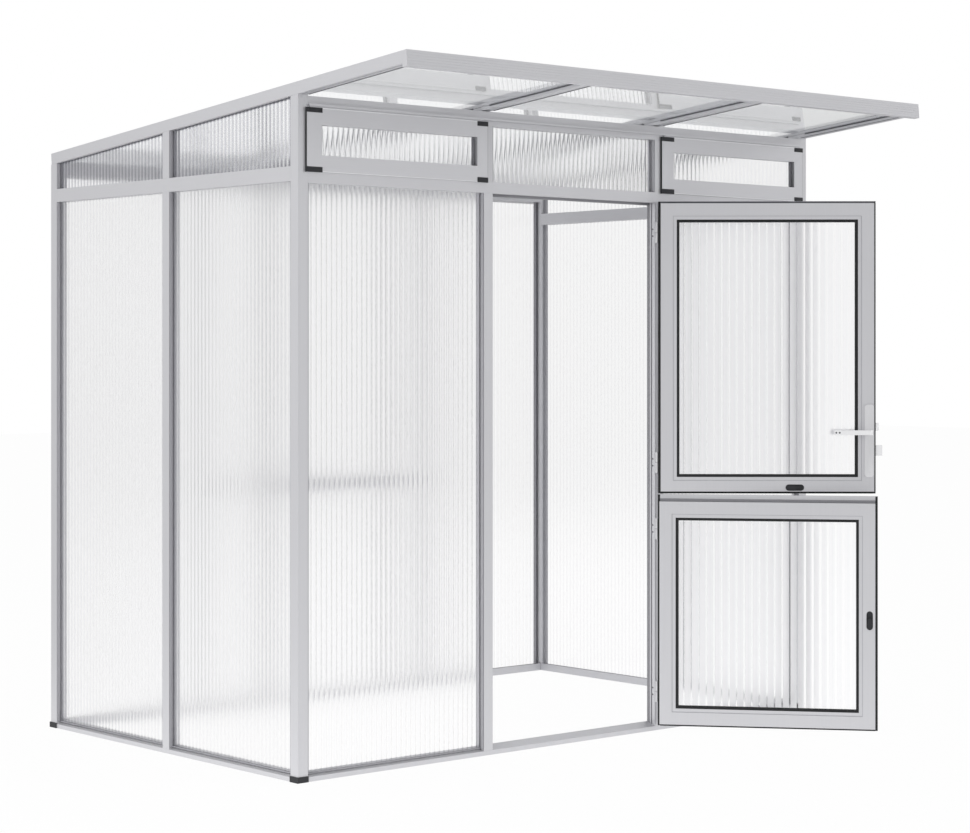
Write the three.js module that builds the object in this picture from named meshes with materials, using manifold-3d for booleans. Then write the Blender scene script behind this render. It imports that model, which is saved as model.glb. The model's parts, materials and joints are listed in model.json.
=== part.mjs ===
// Pent-roof lean-to greenhouse: aluminium frame, ribbed wall sheets, clear roof panes,
// two top-hung vents and a two-leaf stable door that stands open.
// Millimetres. +Z up, +X to the right along the front, +Y from the front to the rear.
// The origin is on the ground, under the middle of the front sill.
import * as THREE from 'three';
import { mergeVertices } from 'three/addons/utils/BufferGeometryUtils.js';
import Module from 'manifold-3d';

const wasm = await Module();
wasm.setup();

// Overall sizes
const WIDTH = 2560;
const DEPTH = 1590;
const REAR_HEIGHT = 2208;
const ROOF_ANGLE = THREE.MathUtils.degToRad(5.19);
const OVERHANG = 574;

// Frame sections
const MEMBER = 42;
const MEMBER_DEPTH = 42;
const SECTION_WALL = 2;
const MULLION_SHARE = 0.33086;
const VENT_OPENING = 200.1;
const HEAD_RAIL = 40;
const SIDE_RAIL_RISE = 6;
const SIDE_RAIL = 50;
const CROSS_RAIL_LOW = 870;
const CROSS_RAIL = 47;
const TOP_RAIL = 52;
const REAR_BEAM = 42;
const SILL_LIP = 16;
const SILL_BACK = 31;

// Sheets and the grooves that hold them
const SHEET = 6;
const SHEET_SET = 15;
const ROOF_PANE_SET = 24;
const SHEET_PLAY = 0.3;
const GROOVE_DEPTH = 12;
const EDGE_PLAY = 2;
const RIB_PITCH = 22;
const LEAF_RIB_PITCH = 29;
const RIB_DEPTH = 1.5;

// Roof
const RAFTER = 42;
const PANE_DRIP = 15;
const FASCIA_HEIGHT = 54;
const FASCIA_DEPTH = 24;
const FASCIA_REED = 1.2;
const FASCIA_REEDS = 5;
const GUTTER_WIDTH = 44;
const GUTTER_HEIGHT = 56;
const GUTTER_LIFT = 8;
const GUTTER_END_IN = 33;
const GUTTER_WALL = 2.5;
const GUTTER_ARC_STEPS = 8;

// Feet
const FOOT_HEIGHT = 20;
const FOOT_WALL = 4;

// Door leaves
const LOWER_LEAF_LOW = 20;
const LOWER_LEAF_TOP = 902;
const LOWER_LEAF_LIP = 26;
const LEAVES_APART = 3;
const LEAF_HEAD_LAP = 5;
const LEAF_OVERLAP = 2;
const LEAF_FLANGE = 12;
const LEAF_BODY = 27;
const LEAF_SEAL_GAP = 1;
const BODY_PLAY = 7;
const BODY_RISE = 9;
const LEAF_STILE = 70;
const UPPER_TOP_RAIL = 71;
const UPPER_BOTTOM_RAIL = 64;
const LOWER_TOP_RAIL = 61;
const LOWER_BOTTOM_RAIL = 70;
const LEAF_SHEET_SET = 10;
const BEAD_WIDTH = 14;
const BEAD_STEP = 3;
const UPPER_LEAF_OPEN = THREE.MathUtils.degToRad(138);
const LOWER_LEAF_OPEN = THREE.MathUtils.degToRad(129.5);

// Door hinges
const HINGE_IN_FRONT = 7;
const HINGE_PAST_JAMB = 5;
const KNUCKLE_RADIUS = 6.5;
const KNUCKLE_SIDES = 16;
const KNUCKLE_LENGTH = 40;
const KNUCKLE_GAP = 1;
const HINGE_SWEEP_RADIUS = 9;
const HINGE_PIN_RADIUS = 3;
const PIN_PLAY = 0.4;
const UPPER_HINGES_IN = [118, 119];
const LOWER_HINGES_IN = [129, 132];

// Lock on the upper leaf
const LEVER_UP = 234;
const LOCK_INSET = 28;
const LOCK_PLATE_WIDTH = 37;
const LOCK_PLATE_UP = 64;
const LOCK_PLATE_LENGTH = 276;
const LOCK_PLATE_THICK = 4;
const SPINDLE_RADIUS = 6;
const LEVER_STAND = 38;
const LEVER_LENGTH = 132;
const LEVER_WIDTH = 18;
const LEVER_THICK = 11;
const LEVER_BEND_SHARE = 0.22;
const LATCH_UP = 255;
const LATCH_TALL = 30;
const LATCH_OUT = 11;
const LATCH_TRAVEL = 12;
const LATCH_NOSE = 2;
const BOLT_UP = 165;
const BOLT_TALL = 40;
const BOLT_OUT = 23;
const BOLT_TRAVEL = 22;
const BOLT_THICK = 11;
const BOLT_SET = 6;
const BOLT_INSIDE = 20;
const BOLT_PLAY = 0.5;

// Thumb catches
const CATCH_LENGTH = 71;
const CATCH_WIDTH = 24;
const CATCH_RECESS = 4;
const THUMB_LENGTH = 44;
const THUMB_WIDTH = 18;
const THUMB_PROUD = 5;
const THUMB_END_PLAY = 1;
const CATCH_FROM_HINGE = 518;
const UPPER_CATCH_UP = 24;
const LOWER_CATCH_UP = 417;
const LOWER_CATCH_INSET = 21;
const ARC_STEPS = 6;

// Vents
const VENT_SILL_LAP = 2.5;
const VENT_AXIS_RISE = 20;
const VENT_OVERLAP = 11;
const VENT_FLANGE = 8;
const VENT_GAP = 0.5;
const VENT_BEAD_RADIUS = 3.5;
const VENT_BEAD_SIDES = 12;
const VENT_NECK = 3;
const VENT_NECK_HEIGHT = 6;
const VENT_INNER_DEPTH = 25;
const VENT_INNER_PLAY = 4;
const VENT_LEFT_STILE = 63;
const VENT_RIGHT_STILE = 49;
const VENT_TOP_RAIL = 57.5;
const VENT_LOW_RAIL = 56.5;
const VENT_SHEET_SET = 10;
const HOOK_THICK = 2.5;
const HOOK_LIP = 1.8;
const HOOK_PLAY = 0.7;
const HOOK_LIP_DROP = 1;

// Running gap between neighbours, and how far a cut runs past what it cuts
const SEAT = 0.3;
const OVERRUN = 5;

// Places worked out from the sizes above
const FRONT_FACE = -MEMBER_DEPTH / 2;
const REAR_FACE = FRONT_FACE + DEPTH;
const MULLION_FROM_END = WIDTH * MULLION_SHARE;
const OPENING = WIDTH - 2 * MULLION_FROM_END - MEMBER;
const SIDE_BAY = MULLION_FROM_END - MEMBER / 2 - MEMBER;
const MULLION_X = WIDTH / 2 - MULLION_FROM_END;
const JAMB_X = MULLION_X - MEMBER / 2;
const GROOVE_HOLD = GROOVE_DEPTH - EDGE_PLAY;
const RAFTER_DROP = RAFTER / Math.cos(ROOF_ANGLE);
const TOP_RAIL_TOP = REAR_HEIGHT + Math.tan(ROOF_ANGLE) * (DEPTH - MEMBER_DEPTH) - RAFTER_DROP - SEAT;
const TOP_RAIL_LOW = TOP_RAIL_TOP - TOP_RAIL;
const HEAD_RAIL_TOP = TOP_RAIL_LOW - VENT_OPENING;
const HEAD_RAIL_LOW = HEAD_RAIL_TOP - HEAD_RAIL;
const SIDE_RAIL_LOW = HEAD_RAIL_LOW + SIDE_RAIL_RISE;
const SIDE_RAIL_TOP = SIDE_RAIL_LOW + SIDE_RAIL;
const LOWER_BODY_TOP = LOWER_LEAF_TOP - LOWER_LEAF_LIP;
const UPPER_LEAF_LOW = LOWER_LEAF_TOP + LEAVES_APART;
const UPPER_LEAF_TOP = HEAD_RAIL_LOW + LEAF_HEAD_LAP;
const UPPER_HINGE_HEIGHTS = [UPPER_LEAF_LOW + UPPER_HINGES_IN[0], UPPER_LEAF_TOP - UPPER_HINGES_IN[1]];
const LOWER_HINGE_HEIGHTS = [LOWER_LEAF_LOW + LOWER_HINGES_IN[0], LOWER_LEAF_TOP - LOWER_HINGES_IN[1]];
const LOCK_PLATE_LOW = UPPER_LEAF_LOW + LOCK_PLATE_UP;
const LOCK_PLATE_TOP = LOCK_PLATE_LOW + LOCK_PLATE_LENGTH;
const LEVER_HEIGHT = UPPER_LEAF_LOW + LEVER_UP;
const LATCH_HEIGHT = UPPER_LEAF_LOW + LATCH_UP;
const BOLT_HEIGHT = UPPER_LEAF_LOW + BOLT_UP;
const UPPER_CATCH_HEIGHT = UPPER_LEAF_LOW + UPPER_CATCH_UP;
const LOWER_CATCH_HEIGHT = LOWER_LEAF_LOW + LOWER_CATCH_UP;
const VENT_AXIS_HEIGHT = TOP_RAIL_LOW + VENT_AXIS_RISE;
const VENT_LOW = HEAD_RAIL_TOP - VENT_SILL_LAP;
const REAR_BEAM_TOP = REAR_HEIGHT - RAFTER_DROP - SEAT;
const REAR_BEAM_LOW = REAR_BEAM_TOP - REAR_BEAM;
const ROOF_LENGTH = (DEPTH + OVERHANG) / Math.cos(ROOF_ANGLE);
const RAFTER_LENGTH = ROOF_LENGTH - FASCIA_DEPTH - SEAT;
const SILL_AT_SHEET = SILL_LIP + ((SILL_BACK - SILL_LIP) * (SHEET_SET + SHEET / 2)) / MEMBER_DEPTH;

const anodised = new THREE.MeshStandardMaterial({ color: 0xcacbce, roughness: 0.38, metalness: 0.85 });
const satinSilver = new THREE.MeshStandardMaterial({ color: 0xe2e3e5, roughness: 0.3, metalness: 0.8 });
const blackPlastic = new THREE.MeshStandardMaterial({ color: 0x1e1f22, roughness: 0.55, metalness: 0 });
const ribbedSheet = new THREE.MeshStandardMaterial({
  color: 0xf0f2f4,
  roughness: 0.25,
  metalness: 0,
  transparent: true,
  opacity: 0.45,
});
const clearPane = new THREE.MeshStandardMaterial({
  color: 0xf6f8fa,
  roughness: 0.08,
  metalness: 0,
  transparent: true,
  opacity: 0.3,
});

// Turns a closed geometry into a solid whose shared corners are merged.
function solid(geometry) {
  const bare = geometry.index ? geometry.clone() : geometry;
  bare.deleteAttribute('normal');
  bare.deleteAttribute('uv');
  const merged = mergeVertices(bare);
  return new wasm.Manifold(
    new wasm.Mesh({
      numProp: 3,
      vertProperties: new Float32Array(merged.attributes.position.array),
      triVerts: new Uint32Array(merged.index.array),
    }),
  );
}

// Gives a solid back as a geometry.
function geometryOf(body) {
  const mesh = body.getMesh();
  const geometry = new THREE.BufferGeometry();
  geometry.setAttribute('position', new THREE.BufferAttribute(mesh.vertProperties, 3));
  geometry.setIndex(new THREE.BufferAttribute(mesh.triVerts, 1));
  geometry.computeVertexNormals();
  return geometry;
}

// A solid block between two corners.
function block(low, high, matrix) {
  const size = high.map((value, axis) => value - low[axis]);
  const geometry = new THREE.BoxGeometry(size[0], size[1], size[2]);
  geometry.translate(low[0] + size[0] / 2, low[1] + size[1] / 2, low[2] + size[2] / 2);
  if (matrix) geometry.applyMatrix4(matrix);
  return solid(geometry);
}

// A closed outline that always runs anticlockwise.
function outline(points) {
  const corners = points.map(([x, y]) => new THREE.Vector2(x, y));
  if (THREE.ShapeUtils.isClockWise(corners)) corners.reverse();
  return new THREE.Shape(corners);
}

function outlineHole(points) {
  return new THREE.Path(points.map(([x, y]) => new THREE.Vector2(x, y)));
}

// Extrusions that start at a place and run up (+Z), across (+X) or back (+Y).
// Across, the outline is drawn in (y, z); back, it is drawn in (x, z).
function extrude(shape, length) {
  return new THREE.ExtrudeGeometry(shape, { depth: length, bevelEnabled: false, steps: 1 });
}

function extrudeUp(shape, low, high) {
  return solid(extrude(shape, high - low).translate(0, 0, low));
}

function extrudeAcross(shape, left, right) {
  const turn = new THREE.Matrix4().makeBasis(
    new THREE.Vector3(0, 1, 0),
    new THREE.Vector3(0, 0, 1),
    new THREE.Vector3(1, 0, 0),
  );
  return solid(extrude(shape, right - left).applyMatrix4(turn).translate(left, 0, 0));
}

function extrudeBack(shape, near, far) {
  const turn = new THREE.Matrix4().makeBasis(
    new THREE.Vector3(1, 0, 0),
    new THREE.Vector3(0, 0, 1),
    new THREE.Vector3(0, -1, 0),
  );
  return solid(extrude(shape, far - near).applyMatrix4(turn).translate(0, far, 0));
}

// An upright, sideways or lengthwise round bar with a chosen number of sides.
function bar(radius, sides, length, direction, centre) {
  const geometry = new THREE.CylinderGeometry(radius, radius, length, sides);
  if (direction === 'z') geometry.rotateX(Math.PI / 2);
  if (direction === 'x') geometry.rotateZ(Math.PI / 2);
  return solid(geometry.translate(centre[0], centre[1], centre[2]));
}

function mesh(name, body, material, parent, position = [0, 0, 0]) {
  const node = new THREE.Mesh(geometryOf(body), material);
  node.name = name;
  node.position.set(...position);
  parent.add(node);
  return node;
}

// Frame section: outer face at y = 0, inner face at y = depth, centred on x = 0.
// left, right: a sheet groove in that side. corner: a groove in the inner face for the
// wall that runs back from this one, on the left of the section.
function frameSection(width, depth, set, options) {
  const { left = false, right = false, corner = false, mirror = false } = options;
  const half = width / 2;
  const near = set - SHEET_PLAY;
  const far = set + SHEET + SHEET_PLAY;
  const cornerNear = SHEET_SET - SHEET_PLAY;
  const cornerFar = SHEET_SET + SHEET + SHEET_PLAY;
  const points = [[-half, 0], [half, 0]];
  if (right) points.push([half, near], [half - GROOVE_DEPTH, near], [half - GROOVE_DEPTH, far], [half, far]);
  points.push([half, depth]);
  if (corner) {
    points.push([cornerFar - half, depth], [cornerFar - half, depth - GROOVE_DEPTH]);
    points.push([cornerNear - half, depth - GROOVE_DEPTH], [cornerNear - half, depth]);
  }
  points.push([-half, depth]);
  if (left) points.push([-half, far], [GROOVE_DEPTH - half, far], [GROOVE_DEPTH - half, near], [-half, near]);
  const chamberLeft = corner ? cornerFar + SECTION_WALL - half : SECTION_WALL - half;
  const chamber = [
    [chamberLeft, far + SECTION_WALL],
    [half - SECTION_WALL, far + SECTION_WALL],
    [half - SECTION_WALL, depth - SECTION_WALL],
    [chamberLeft, depth - SECTION_WALL],
  ];
  const side = mirror ? -1 : 1;
  const flip = (list) => list.map(([x, y]) => [side * x, y]);
  const shape = outline(flip(points));
  shape.holes.push(outlineHole(flip(chamber)));
  return shape;
}

// The same section laid down as a rail: its left side becomes the underside.
// Returned in (y, z), with its underside at z = 0.
function railSection(height, { below = false, above = false }) {
  const upright = frameSection(height, MEMBER_DEPTH, SHEET_SET, { left: below, right: above });
  const lay = (points) => points.map((point) => [point.y, point.x + height / 2]);
  const shape = outline(lay(upright.getPoints()));
  shape.holes.push(outlineHole(lay(upright.holes[0].getPoints())));
  return shape;
}

// Sill: a low front lip, then a ramp that rises to the back.
function sillSection(grow = 0) {
  return outline([
    [-grow, -grow],
    [MEMBER_DEPTH + grow, -grow],
    [MEMBER_DEPTH + grow, SILL_BACK + grow],
    [MEMBER_DEPTH - SECTION_WALL, SILL_BACK + grow],
    [SECTION_WALL, SILL_LIP + grow],
    [-grow, SILL_LIP + grow],
  ]);
}

// Ribbed sheet: flat inner face, ridged outer face, ribs upright.
function ribbedSection(width, set, spacing = RIB_PITCH) {
  const count = Math.max(1, Math.round(width / spacing));
  const pitch = width / count;
  const points = [[-width / 2, set + SHEET], [width / 2, set + SHEET]];
  for (let rib = 0; rib < count; rib += 1) {
    const ridge = width / 2 - rib * pitch;
    points.push([ridge, set], [ridge - pitch / 2, set + RIB_DEPTH]);
  }
  points.push([-width / 2, set]);
  return outline(points);
}

function moved(body, x, y, z) {
  return body.translate([x, y, z]);
}

// Frames of reference
// A wall's frame has x along the wall, y inwards from its outer face, and z up.
function wallFrame(x, y, turn) {
  const frame = new THREE.Group();
  frame.position.set(x, y, 0);
  frame.rotation.z = turn;
  frame.updateMatrix();
  return frame;
}

const greenhouse = new THREE.Group();
const front = wallFrame(0, FRONT_FACE, 0);
const right = wallFrame(WIDTH / 2, FRONT_FACE + DEPTH / 2, Math.PI / 2);
const rear = wallFrame(0, REAR_FACE, Math.PI);
const left = wallFrame(-WIDTH / 2, FRONT_FACE + DEPTH / 2, -Math.PI / 2);
const roof = new THREE.Group();
roof.position.set(0, REAR_FACE, REAR_HEIGHT);
roof.rotation.x = -ROOF_ANGLE;
roof.updateMatrix();
greenhouse.add(front, right, rear, left, roof);

// Cuts off what rises into the roof: the tool is a slab laid on the slope.
function trimmedUnderRoof(body, frame, below) {
  const matrix = frame.matrix.clone().invert().multiply(roof.matrix);
  const low = [-WIDTH, -ROOF_LENGTH, -below];
  const high = [WIDTH, DEPTH, DEPTH];
  return body.subtract(block(low, high, matrix));
}

// Uprights
const UPRIGHT_TOP = REAR_HEIGHT + Math.tan(ROOF_ANGLE) * DEPTH;

function cornerPost(name, frame, end) {
  const section = frameSection(MEMBER, MEMBER_DEPTH, SHEET_SET, { right: true, corner: true, mirror: end > 0 });
  const x = end * (WIDTH / 2 - MEMBER / 2);
  const post = moved(extrudeUp(section, FOOT_WALL, UPRIGHT_TOP), x, 0, 0);
  mesh(name, trimmedUnderRoof(post, frame, RAFTER + SEAT), anodised, frame);
}

function foot(name, frame, end) {
  const outer = end * (WIDTH / 2 + FOOT_WALL);
  const inner = end * (WIDTH / 2 - MEMBER);
  const low = [Math.min(outer, inner), -FOOT_WALL, 0];
  const high = [Math.max(outer, inner), MEMBER_DEPTH, FOOT_HEIGHT];
  const pocketOuter = end * (WIDTH / 2 + SEAT);
  const pocketInner = inner - end * OVERRUN;
  const pocketLow = [Math.min(pocketOuter, pocketInner), -SEAT, FOOT_WALL - SEAT];
  const pocketHigh = [Math.max(pocketOuter, pocketInner), MEMBER_DEPTH + OVERRUN, FOOT_HEIGHT + OVERRUN];
  mesh(name, block(low, high).subtract(block(pocketLow, pocketHigh)), blackPlastic, frame);
}

// Where a rail crosses an upright, the rail keeps its outer half and the upright its inner half.
function lapForRail(body, x, low, high) {
  const cutLow = [x - MEMBER / 2 - OVERRUN, -OVERRUN, low - SEAT];
  const cutHigh = [x + MEMBER / 2 + OVERRUN, MEMBER_DEPTH / 2 + SEAT / 2, high + SEAT];
  return body.subtract(block(cutLow, cutHigh));
}

function lapForUpright(body, x, low, high) {
  const cutLow = [x - MEMBER / 2 - SEAT, MEMBER_DEPTH / 2 - SEAT / 2, low - OVERRUN];
  const cutHigh = [x + MEMBER / 2 + SEAT, MEMBER_DEPTH + OVERRUN, high + OVERRUN];
  return body.subtract(block(cutLow, cutHigh));
}

function upright(x, top) {
  const section = frameSection(MEMBER, MEMBER_DEPTH, SHEET_SET, { left: true, right: true });
  const body = moved(extrudeUp(section, 0, top), x, 0, 0);
  const sill = extrudeAcross(sillSection(SEAT), x - MEMBER, x + MEMBER);
  return body.subtract(sill);
}

// Rails between uprights, in a wall's frame
function rail(length, low, height, grooves) {
  const half = length / 2 - MEMBER - SEAT;
  return moved(extrudeAcross(railSection(height, grooves), -half, half), 0, 0, low);
}

function sill(length, bays) {
  const half = length / 2 - MEMBER - SEAT;
  let body = extrudeAcross(sillSection(), -half, half);
  for (const [from, to] of bays) {
    const low = [from, SHEET_SET - SHEET_PLAY, SILL_AT_SHEET - GROOVE_DEPTH];
    const high = [to, SHEET_SET + SHEET + SHEET_PLAY, SILL_BACK + OVERRUN];
    body = body.subtract(block(low, high));
  }
  return body;
}

// A sheet that reaches into the grooves at both sides, from one height to another.
function wallSheet(x, clearWidth, low, high) {
  const section = ribbedSection(clearWidth + 2 * GROOVE_HOLD, SHEET_SET);
  return moved(extrudeUp(section, low, high), x, 0, 0);
}

const SHEET_FOOT = SILL_AT_SHEET - GROOVE_HOLD;
const FRONT_BAY_X = WIDTH / 2 - MEMBER - SIDE_BAY / 2;

// Front wall
cornerPost('front_left_post', front, -1);
cornerPost('front_right_post', front, 1);
foot('front_left_foot', front, -1);
foot('front_right_foot', front, 1);

const bayGrooves = [-1, 1].map((side) => {
  const middle = side * (WIDTH / 2 - MEMBER - SIDE_BAY / 2);
  const reach = SIDE_BAY / 2 + GROOVE_DEPTH;
  return [middle - reach, middle + reach];
});
mesh('front_sill', sill(WIDTH, bayGrooves), anodised, front);

function keepPockets(body) {
  const innerFace = -JAMB_X;
  const pockets = [
    [BOLT_HEIGHT, BOLT_TALL, BOLT_OUT],
    [LATCH_HEIGHT, LATCH_TALL, LATCH_OUT],
  ];
  let result = body;
  for (const [height, tall, out] of pockets) {
    const low = [innerFace - out - OVERRUN, BOLT_SET - 2 * BOLT_PLAY, height - tall / 2 - 2 * BOLT_PLAY];
    const high = [innerFace + OVERRUN, BOLT_SET + BOLT_THICK + 2 * BOLT_PLAY, height + tall / 2 + 2 * BOLT_PLAY];
    result = result.subtract(block(low, high));
  }
  return result;
}

// Fixed half of a door hinge: lower knuckle, its root on the jamb, and the pin.
function fixedKnuckles(heights) {
  const axisX = JAMB_X + HINGE_PAST_JAMB;
  const axisY = -HINGE_IN_FRONT;
  return heights.map((height) => {
    const low = height - KNUCKLE_LENGTH - KNUCKLE_GAP / 2;
    const knuckle = bar(KNUCKLE_RADIUS, KNUCKLE_SIDES, KNUCKLE_LENGTH, 'z', [axisX, axisY, low + KNUCKLE_LENGTH / 2]);
    const pinLength = 2 * KNUCKLE_LENGTH - KNUCKLE_GAP;
    const pin = bar(HINGE_PIN_RADIUS, KNUCKLE_SIDES, pinLength, 'z', [axisX, axisY, low + KNUCKLE_GAP + pinLength / 2]);
    const rootLow = [axisX - HINGE_PIN_RADIUS, axisY, low];
    const rootHigh = [axisX + HINGE_PIN_RADIUS, SECTION_WALL, low + KNUCKLE_LENGTH];
    return knuckle.add(pin).add(block(rootLow, rootHigh));
  });
}

for (const side of [-1, 1]) {
  let body = upright(side * MULLION_X, TOP_RAIL_LOW - SEAT);
  body = lapForRail(body, side * MULLION_X, HEAD_RAIL_LOW, HEAD_RAIL_TOP);
  if (side < 0) body = keepPockets(body);
  if (side > 0) {
    for (const knuckle of fixedKnuckles([...LOWER_HINGE_HEIGHTS, ...UPPER_HINGE_HEIGHTS])) body = body.add(knuckle);
  }
  mesh(side < 0 ? 'left_mullion' : 'right_mullion', body, anodised, front);
}

let headRail = rail(WIDTH, HEAD_RAIL_LOW, HEAD_RAIL, { below: true, above: true });
for (const side of [-1, 1]) headRail = lapForUpright(headRail, side * MULLION_X, HEAD_RAIL_LOW, HEAD_RAIL_TOP);
mesh('head_rail', headRail, anodised, front);

// Top rail: its front carries a hooked ledge in which the beads of the vents turn.
const VENT_AXIS_Y = -VENT_GAP - VENT_BEAD_RADIUS - (VENT_FLANGE - 2 * VENT_BEAD_RADIUS) / 2;

function ventHook() {
  const bead = VENT_BEAD_RADIUS + HOOK_PLAY;
  const under = VENT_AXIS_HEIGHT + VENT_BEAD_RADIUS + SEAT;
  const lipInner = VENT_AXIS_Y - bead;
  return outline([
    [SECTION_WALL, under],
    [lipInner, under],
    [lipInner, VENT_AXIS_HEIGHT - HOOK_LIP_DROP],
    [lipInner - HOOK_LIP, VENT_AXIS_HEIGHT - HOOK_LIP_DROP],
    [lipInner - HOOK_LIP, under + HOOK_THICK],
    [SECTION_WALL, under + HOOK_THICK],
  ]);
}

const topRailHalf = WIDTH / 2 - MEMBER - SEAT;
const topRail = rail(WIDTH, TOP_RAIL_LOW, TOP_RAIL, { below: true });
const hook = extrudeAcross(ventHook(), -topRailHalf, topRailHalf);
mesh('front_top_rail', topRail.add(hook), anodised, front);

for (const side of [-1, 1]) {
  const name = side < 0 ? 'front_left_sheet' : 'front_right_sheet';
  const body = wallSheet(side * FRONT_BAY_X, SIDE_BAY, SHEET_FOOT, HEAD_RAIL_LOW + GROOVE_HOLD);
  mesh(name, body, ribbedSheet, front);
}
const overDoor = wallSheet(0, OPENING, HEAD_RAIL_TOP - GROOVE_HOLD, TOP_RAIL_LOW + GROOVE_HOLD);
mesh('over_door_sheet', overDoor, ribbedSheet, front);

// Rear wall
cornerPost('rear_right_post', rear, -1);
cornerPost('rear_left_post', rear, 1);
foot('rear_right_foot', rear, -1);
foot('rear_left_foot', rear, 1);
mesh('rear_sill', sill(WIDTH, [[-WIDTH, WIDTH]]), anodised, rear);

// The rear beam rises between the rafters to close the gap under the panes.
const RAFTER_X = [-WIDTH / 2 + MEMBER / 2, -MULLION_X, MULLION_X, WIDTH / 2 - MEMBER / 2];
const PANE_UNDERSIDE = REAR_HEIGHT - (ROOF_PANE_SET + SHEET) / Math.cos(ROOF_ANGLE);
function rearBeam() {
  let body = rail(WIDTH, REAR_BEAM_LOW, REAR_BEAM, { below: true });
  for (let bay = 0; bay < RAFTER_X.length - 1; bay += 1) {
    const from = RAFTER_X[bay] + MEMBER / 2 + SEAT;
    const to = RAFTER_X[bay + 1] - MEMBER / 2 - SEAT;
    const low = [from, 0, REAR_BEAM_TOP - SECTION_WALL / 2];
    body = body.add(block(low, [to, MEMBER_DEPTH, PANE_UNDERSIDE - SEAT]));
  }
  return body;
}
mesh('rear_beam', rearBeam(), anodised, rear);
for (const side of [-1, 1]) {
  const body = upright(side * MULLION_X, REAR_BEAM_LOW - SEAT);
  mesh(side < 0 ? 'rear_right_stud' : 'rear_left_stud', body, anodised, rear);
  const name = side < 0 ? 'rear_right_sheet' : 'rear_left_sheet';
  const sheet = wallSheet(side * FRONT_BAY_X, SIDE_BAY, SHEET_FOOT, REAR_BEAM_LOW + GROOVE_HOLD);
  mesh(name, sheet, ribbedSheet, rear);
}
const rearMiddle = wallSheet(0, OPENING, SHEET_FOOT, REAR_BEAM_LOW + GROOVE_HOLD);
mesh('rear_middle_sheet', rearMiddle, ribbedSheet, rear);

// Cross rail on the inner face of the middle rear sheet, between the two studs.
function crossRail() {
  const near = SHEET_SET + SHEET + SEAT;
  const half = OPENING / 2 - SEAT;
  const section = outline([
    [near, CROSS_RAIL_LOW],
    [MEMBER_DEPTH, CROSS_RAIL_LOW],
    [MEMBER_DEPTH, CROSS_RAIL_LOW + CROSS_RAIL],
    [near, CROSS_RAIL_LOW + CROSS_RAIL],
  ]);
  section.holes.push(outlineHole([
    [near + SECTION_WALL, CROSS_RAIL_LOW + SECTION_WALL],
    [MEMBER_DEPTH - SECTION_WALL, CROSS_RAIL_LOW + SECTION_WALL],
    [MEMBER_DEPTH - SECTION_WALL, CROSS_RAIL_LOW + CROSS_RAIL - SECTION_WALL],
    [near + SECTION_WALL, CROSS_RAIL_LOW + CROSS_RAIL - SECTION_WALL],
  ]));
  return extrudeAcross(section, -half, half);
}
mesh('rear_cross_rail', crossRail(), anodised, rear);

// Side walls: one stud, one rail halved across it, and four sheets each.
function sideWall(side, frame) {
  mesh(`${side}_sill`, sill(DEPTH, [[-DEPTH, DEPTH]]), anodised, frame);
  let stud = lapForRail(upright(0, UPRIGHT_TOP), 0, SIDE_RAIL_LOW, SIDE_RAIL_TOP);
  stud = trimmedUnderRoof(stud, frame, RAFTER + SEAT);
  mesh(`${side}_stud`, stud, anodised, frame);
  const grooves = { below: true, above: true };
  const sideRail = rail(DEPTH, SIDE_RAIL_LOW, SIDE_RAIL, grooves);
  mesh(`${side}_rail`, lapForUpright(sideRail, 0, SIDE_RAIL_LOW, SIDE_RAIL_TOP), anodised, frame);
  const clear = (DEPTH - 3 * MEMBER) / 2;
  for (const end of [-1, 1]) {
    const towardsFront = side === 'left' ? end > 0 : end < 0;
    const place = towardsFront ? 'front' : 'rear';
    const x = (end * (clear + MEMBER)) / 2;
    const lower = wallSheet(x, clear, SHEET_FOOT, SIDE_RAIL_LOW + GROOVE_HOLD);
    mesh(`${side}_${place}_lower_sheet`, lower, ribbedSheet, frame);
    const upper = wallSheet(x, clear, SIDE_RAIL_TOP - GROOVE_HOLD, UPRIGHT_TOP);
    const trimmed = trimmedUnderRoof(upper, frame, RAFTER - GROOVE_HOLD);
    mesh(`${side}_${place}_upper_sheet`, trimmed, ribbedSheet, frame);
  }
}
sideWall('left', left);
sideWall('right', right);

// Roof: rafters, clear panes, fascia. In the roof's frame the top is z = 0 and y runs down to the rear.
const RAFTER_NAMES = ['left_gable_rafter', 'left_rafter', 'right_rafter', 'right_gable_rafter'];

RAFTER_X.forEach((x, index) => {
  const gable = index === 0 || index === RAFTER_X.length - 1;
  const options = gable ? { right: true, corner: true, mirror: x > 0 } : { left: true, right: true };
  const upside = frameSection(MEMBER, RAFTER, ROOF_PANE_SET, options);
  const lay = (points) => points.map((point) => [point.x + x, -point.y]);
  const section = outline(lay(upside.getPoints()));
  section.holes.push(outlineHole(lay(upside.holes[0].getPoints())));
  mesh(RAFTER_NAMES[index], extrudeBack(section, -RAFTER_LENGTH, 0), anodised, roof);
});

for (let bay = 0; bay < RAFTER_X.length - 1; bay += 1) {
  const from = RAFTER_X[bay] + MEMBER / 2 - GROOVE_HOLD;
  const to = RAFTER_X[bay + 1] - MEMBER / 2 + GROOVE_HOLD;
  const name = ['left_roof_pane', 'middle_roof_pane', 'right_roof_pane'][bay];
  const low = [from, -RAFTER_LENGTH, -ROOF_PANE_SET - SHEET];
  mesh(name, block(low, [to, PANE_DRIP, -ROOF_PANE_SET]), clearPane, roof);
}

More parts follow.
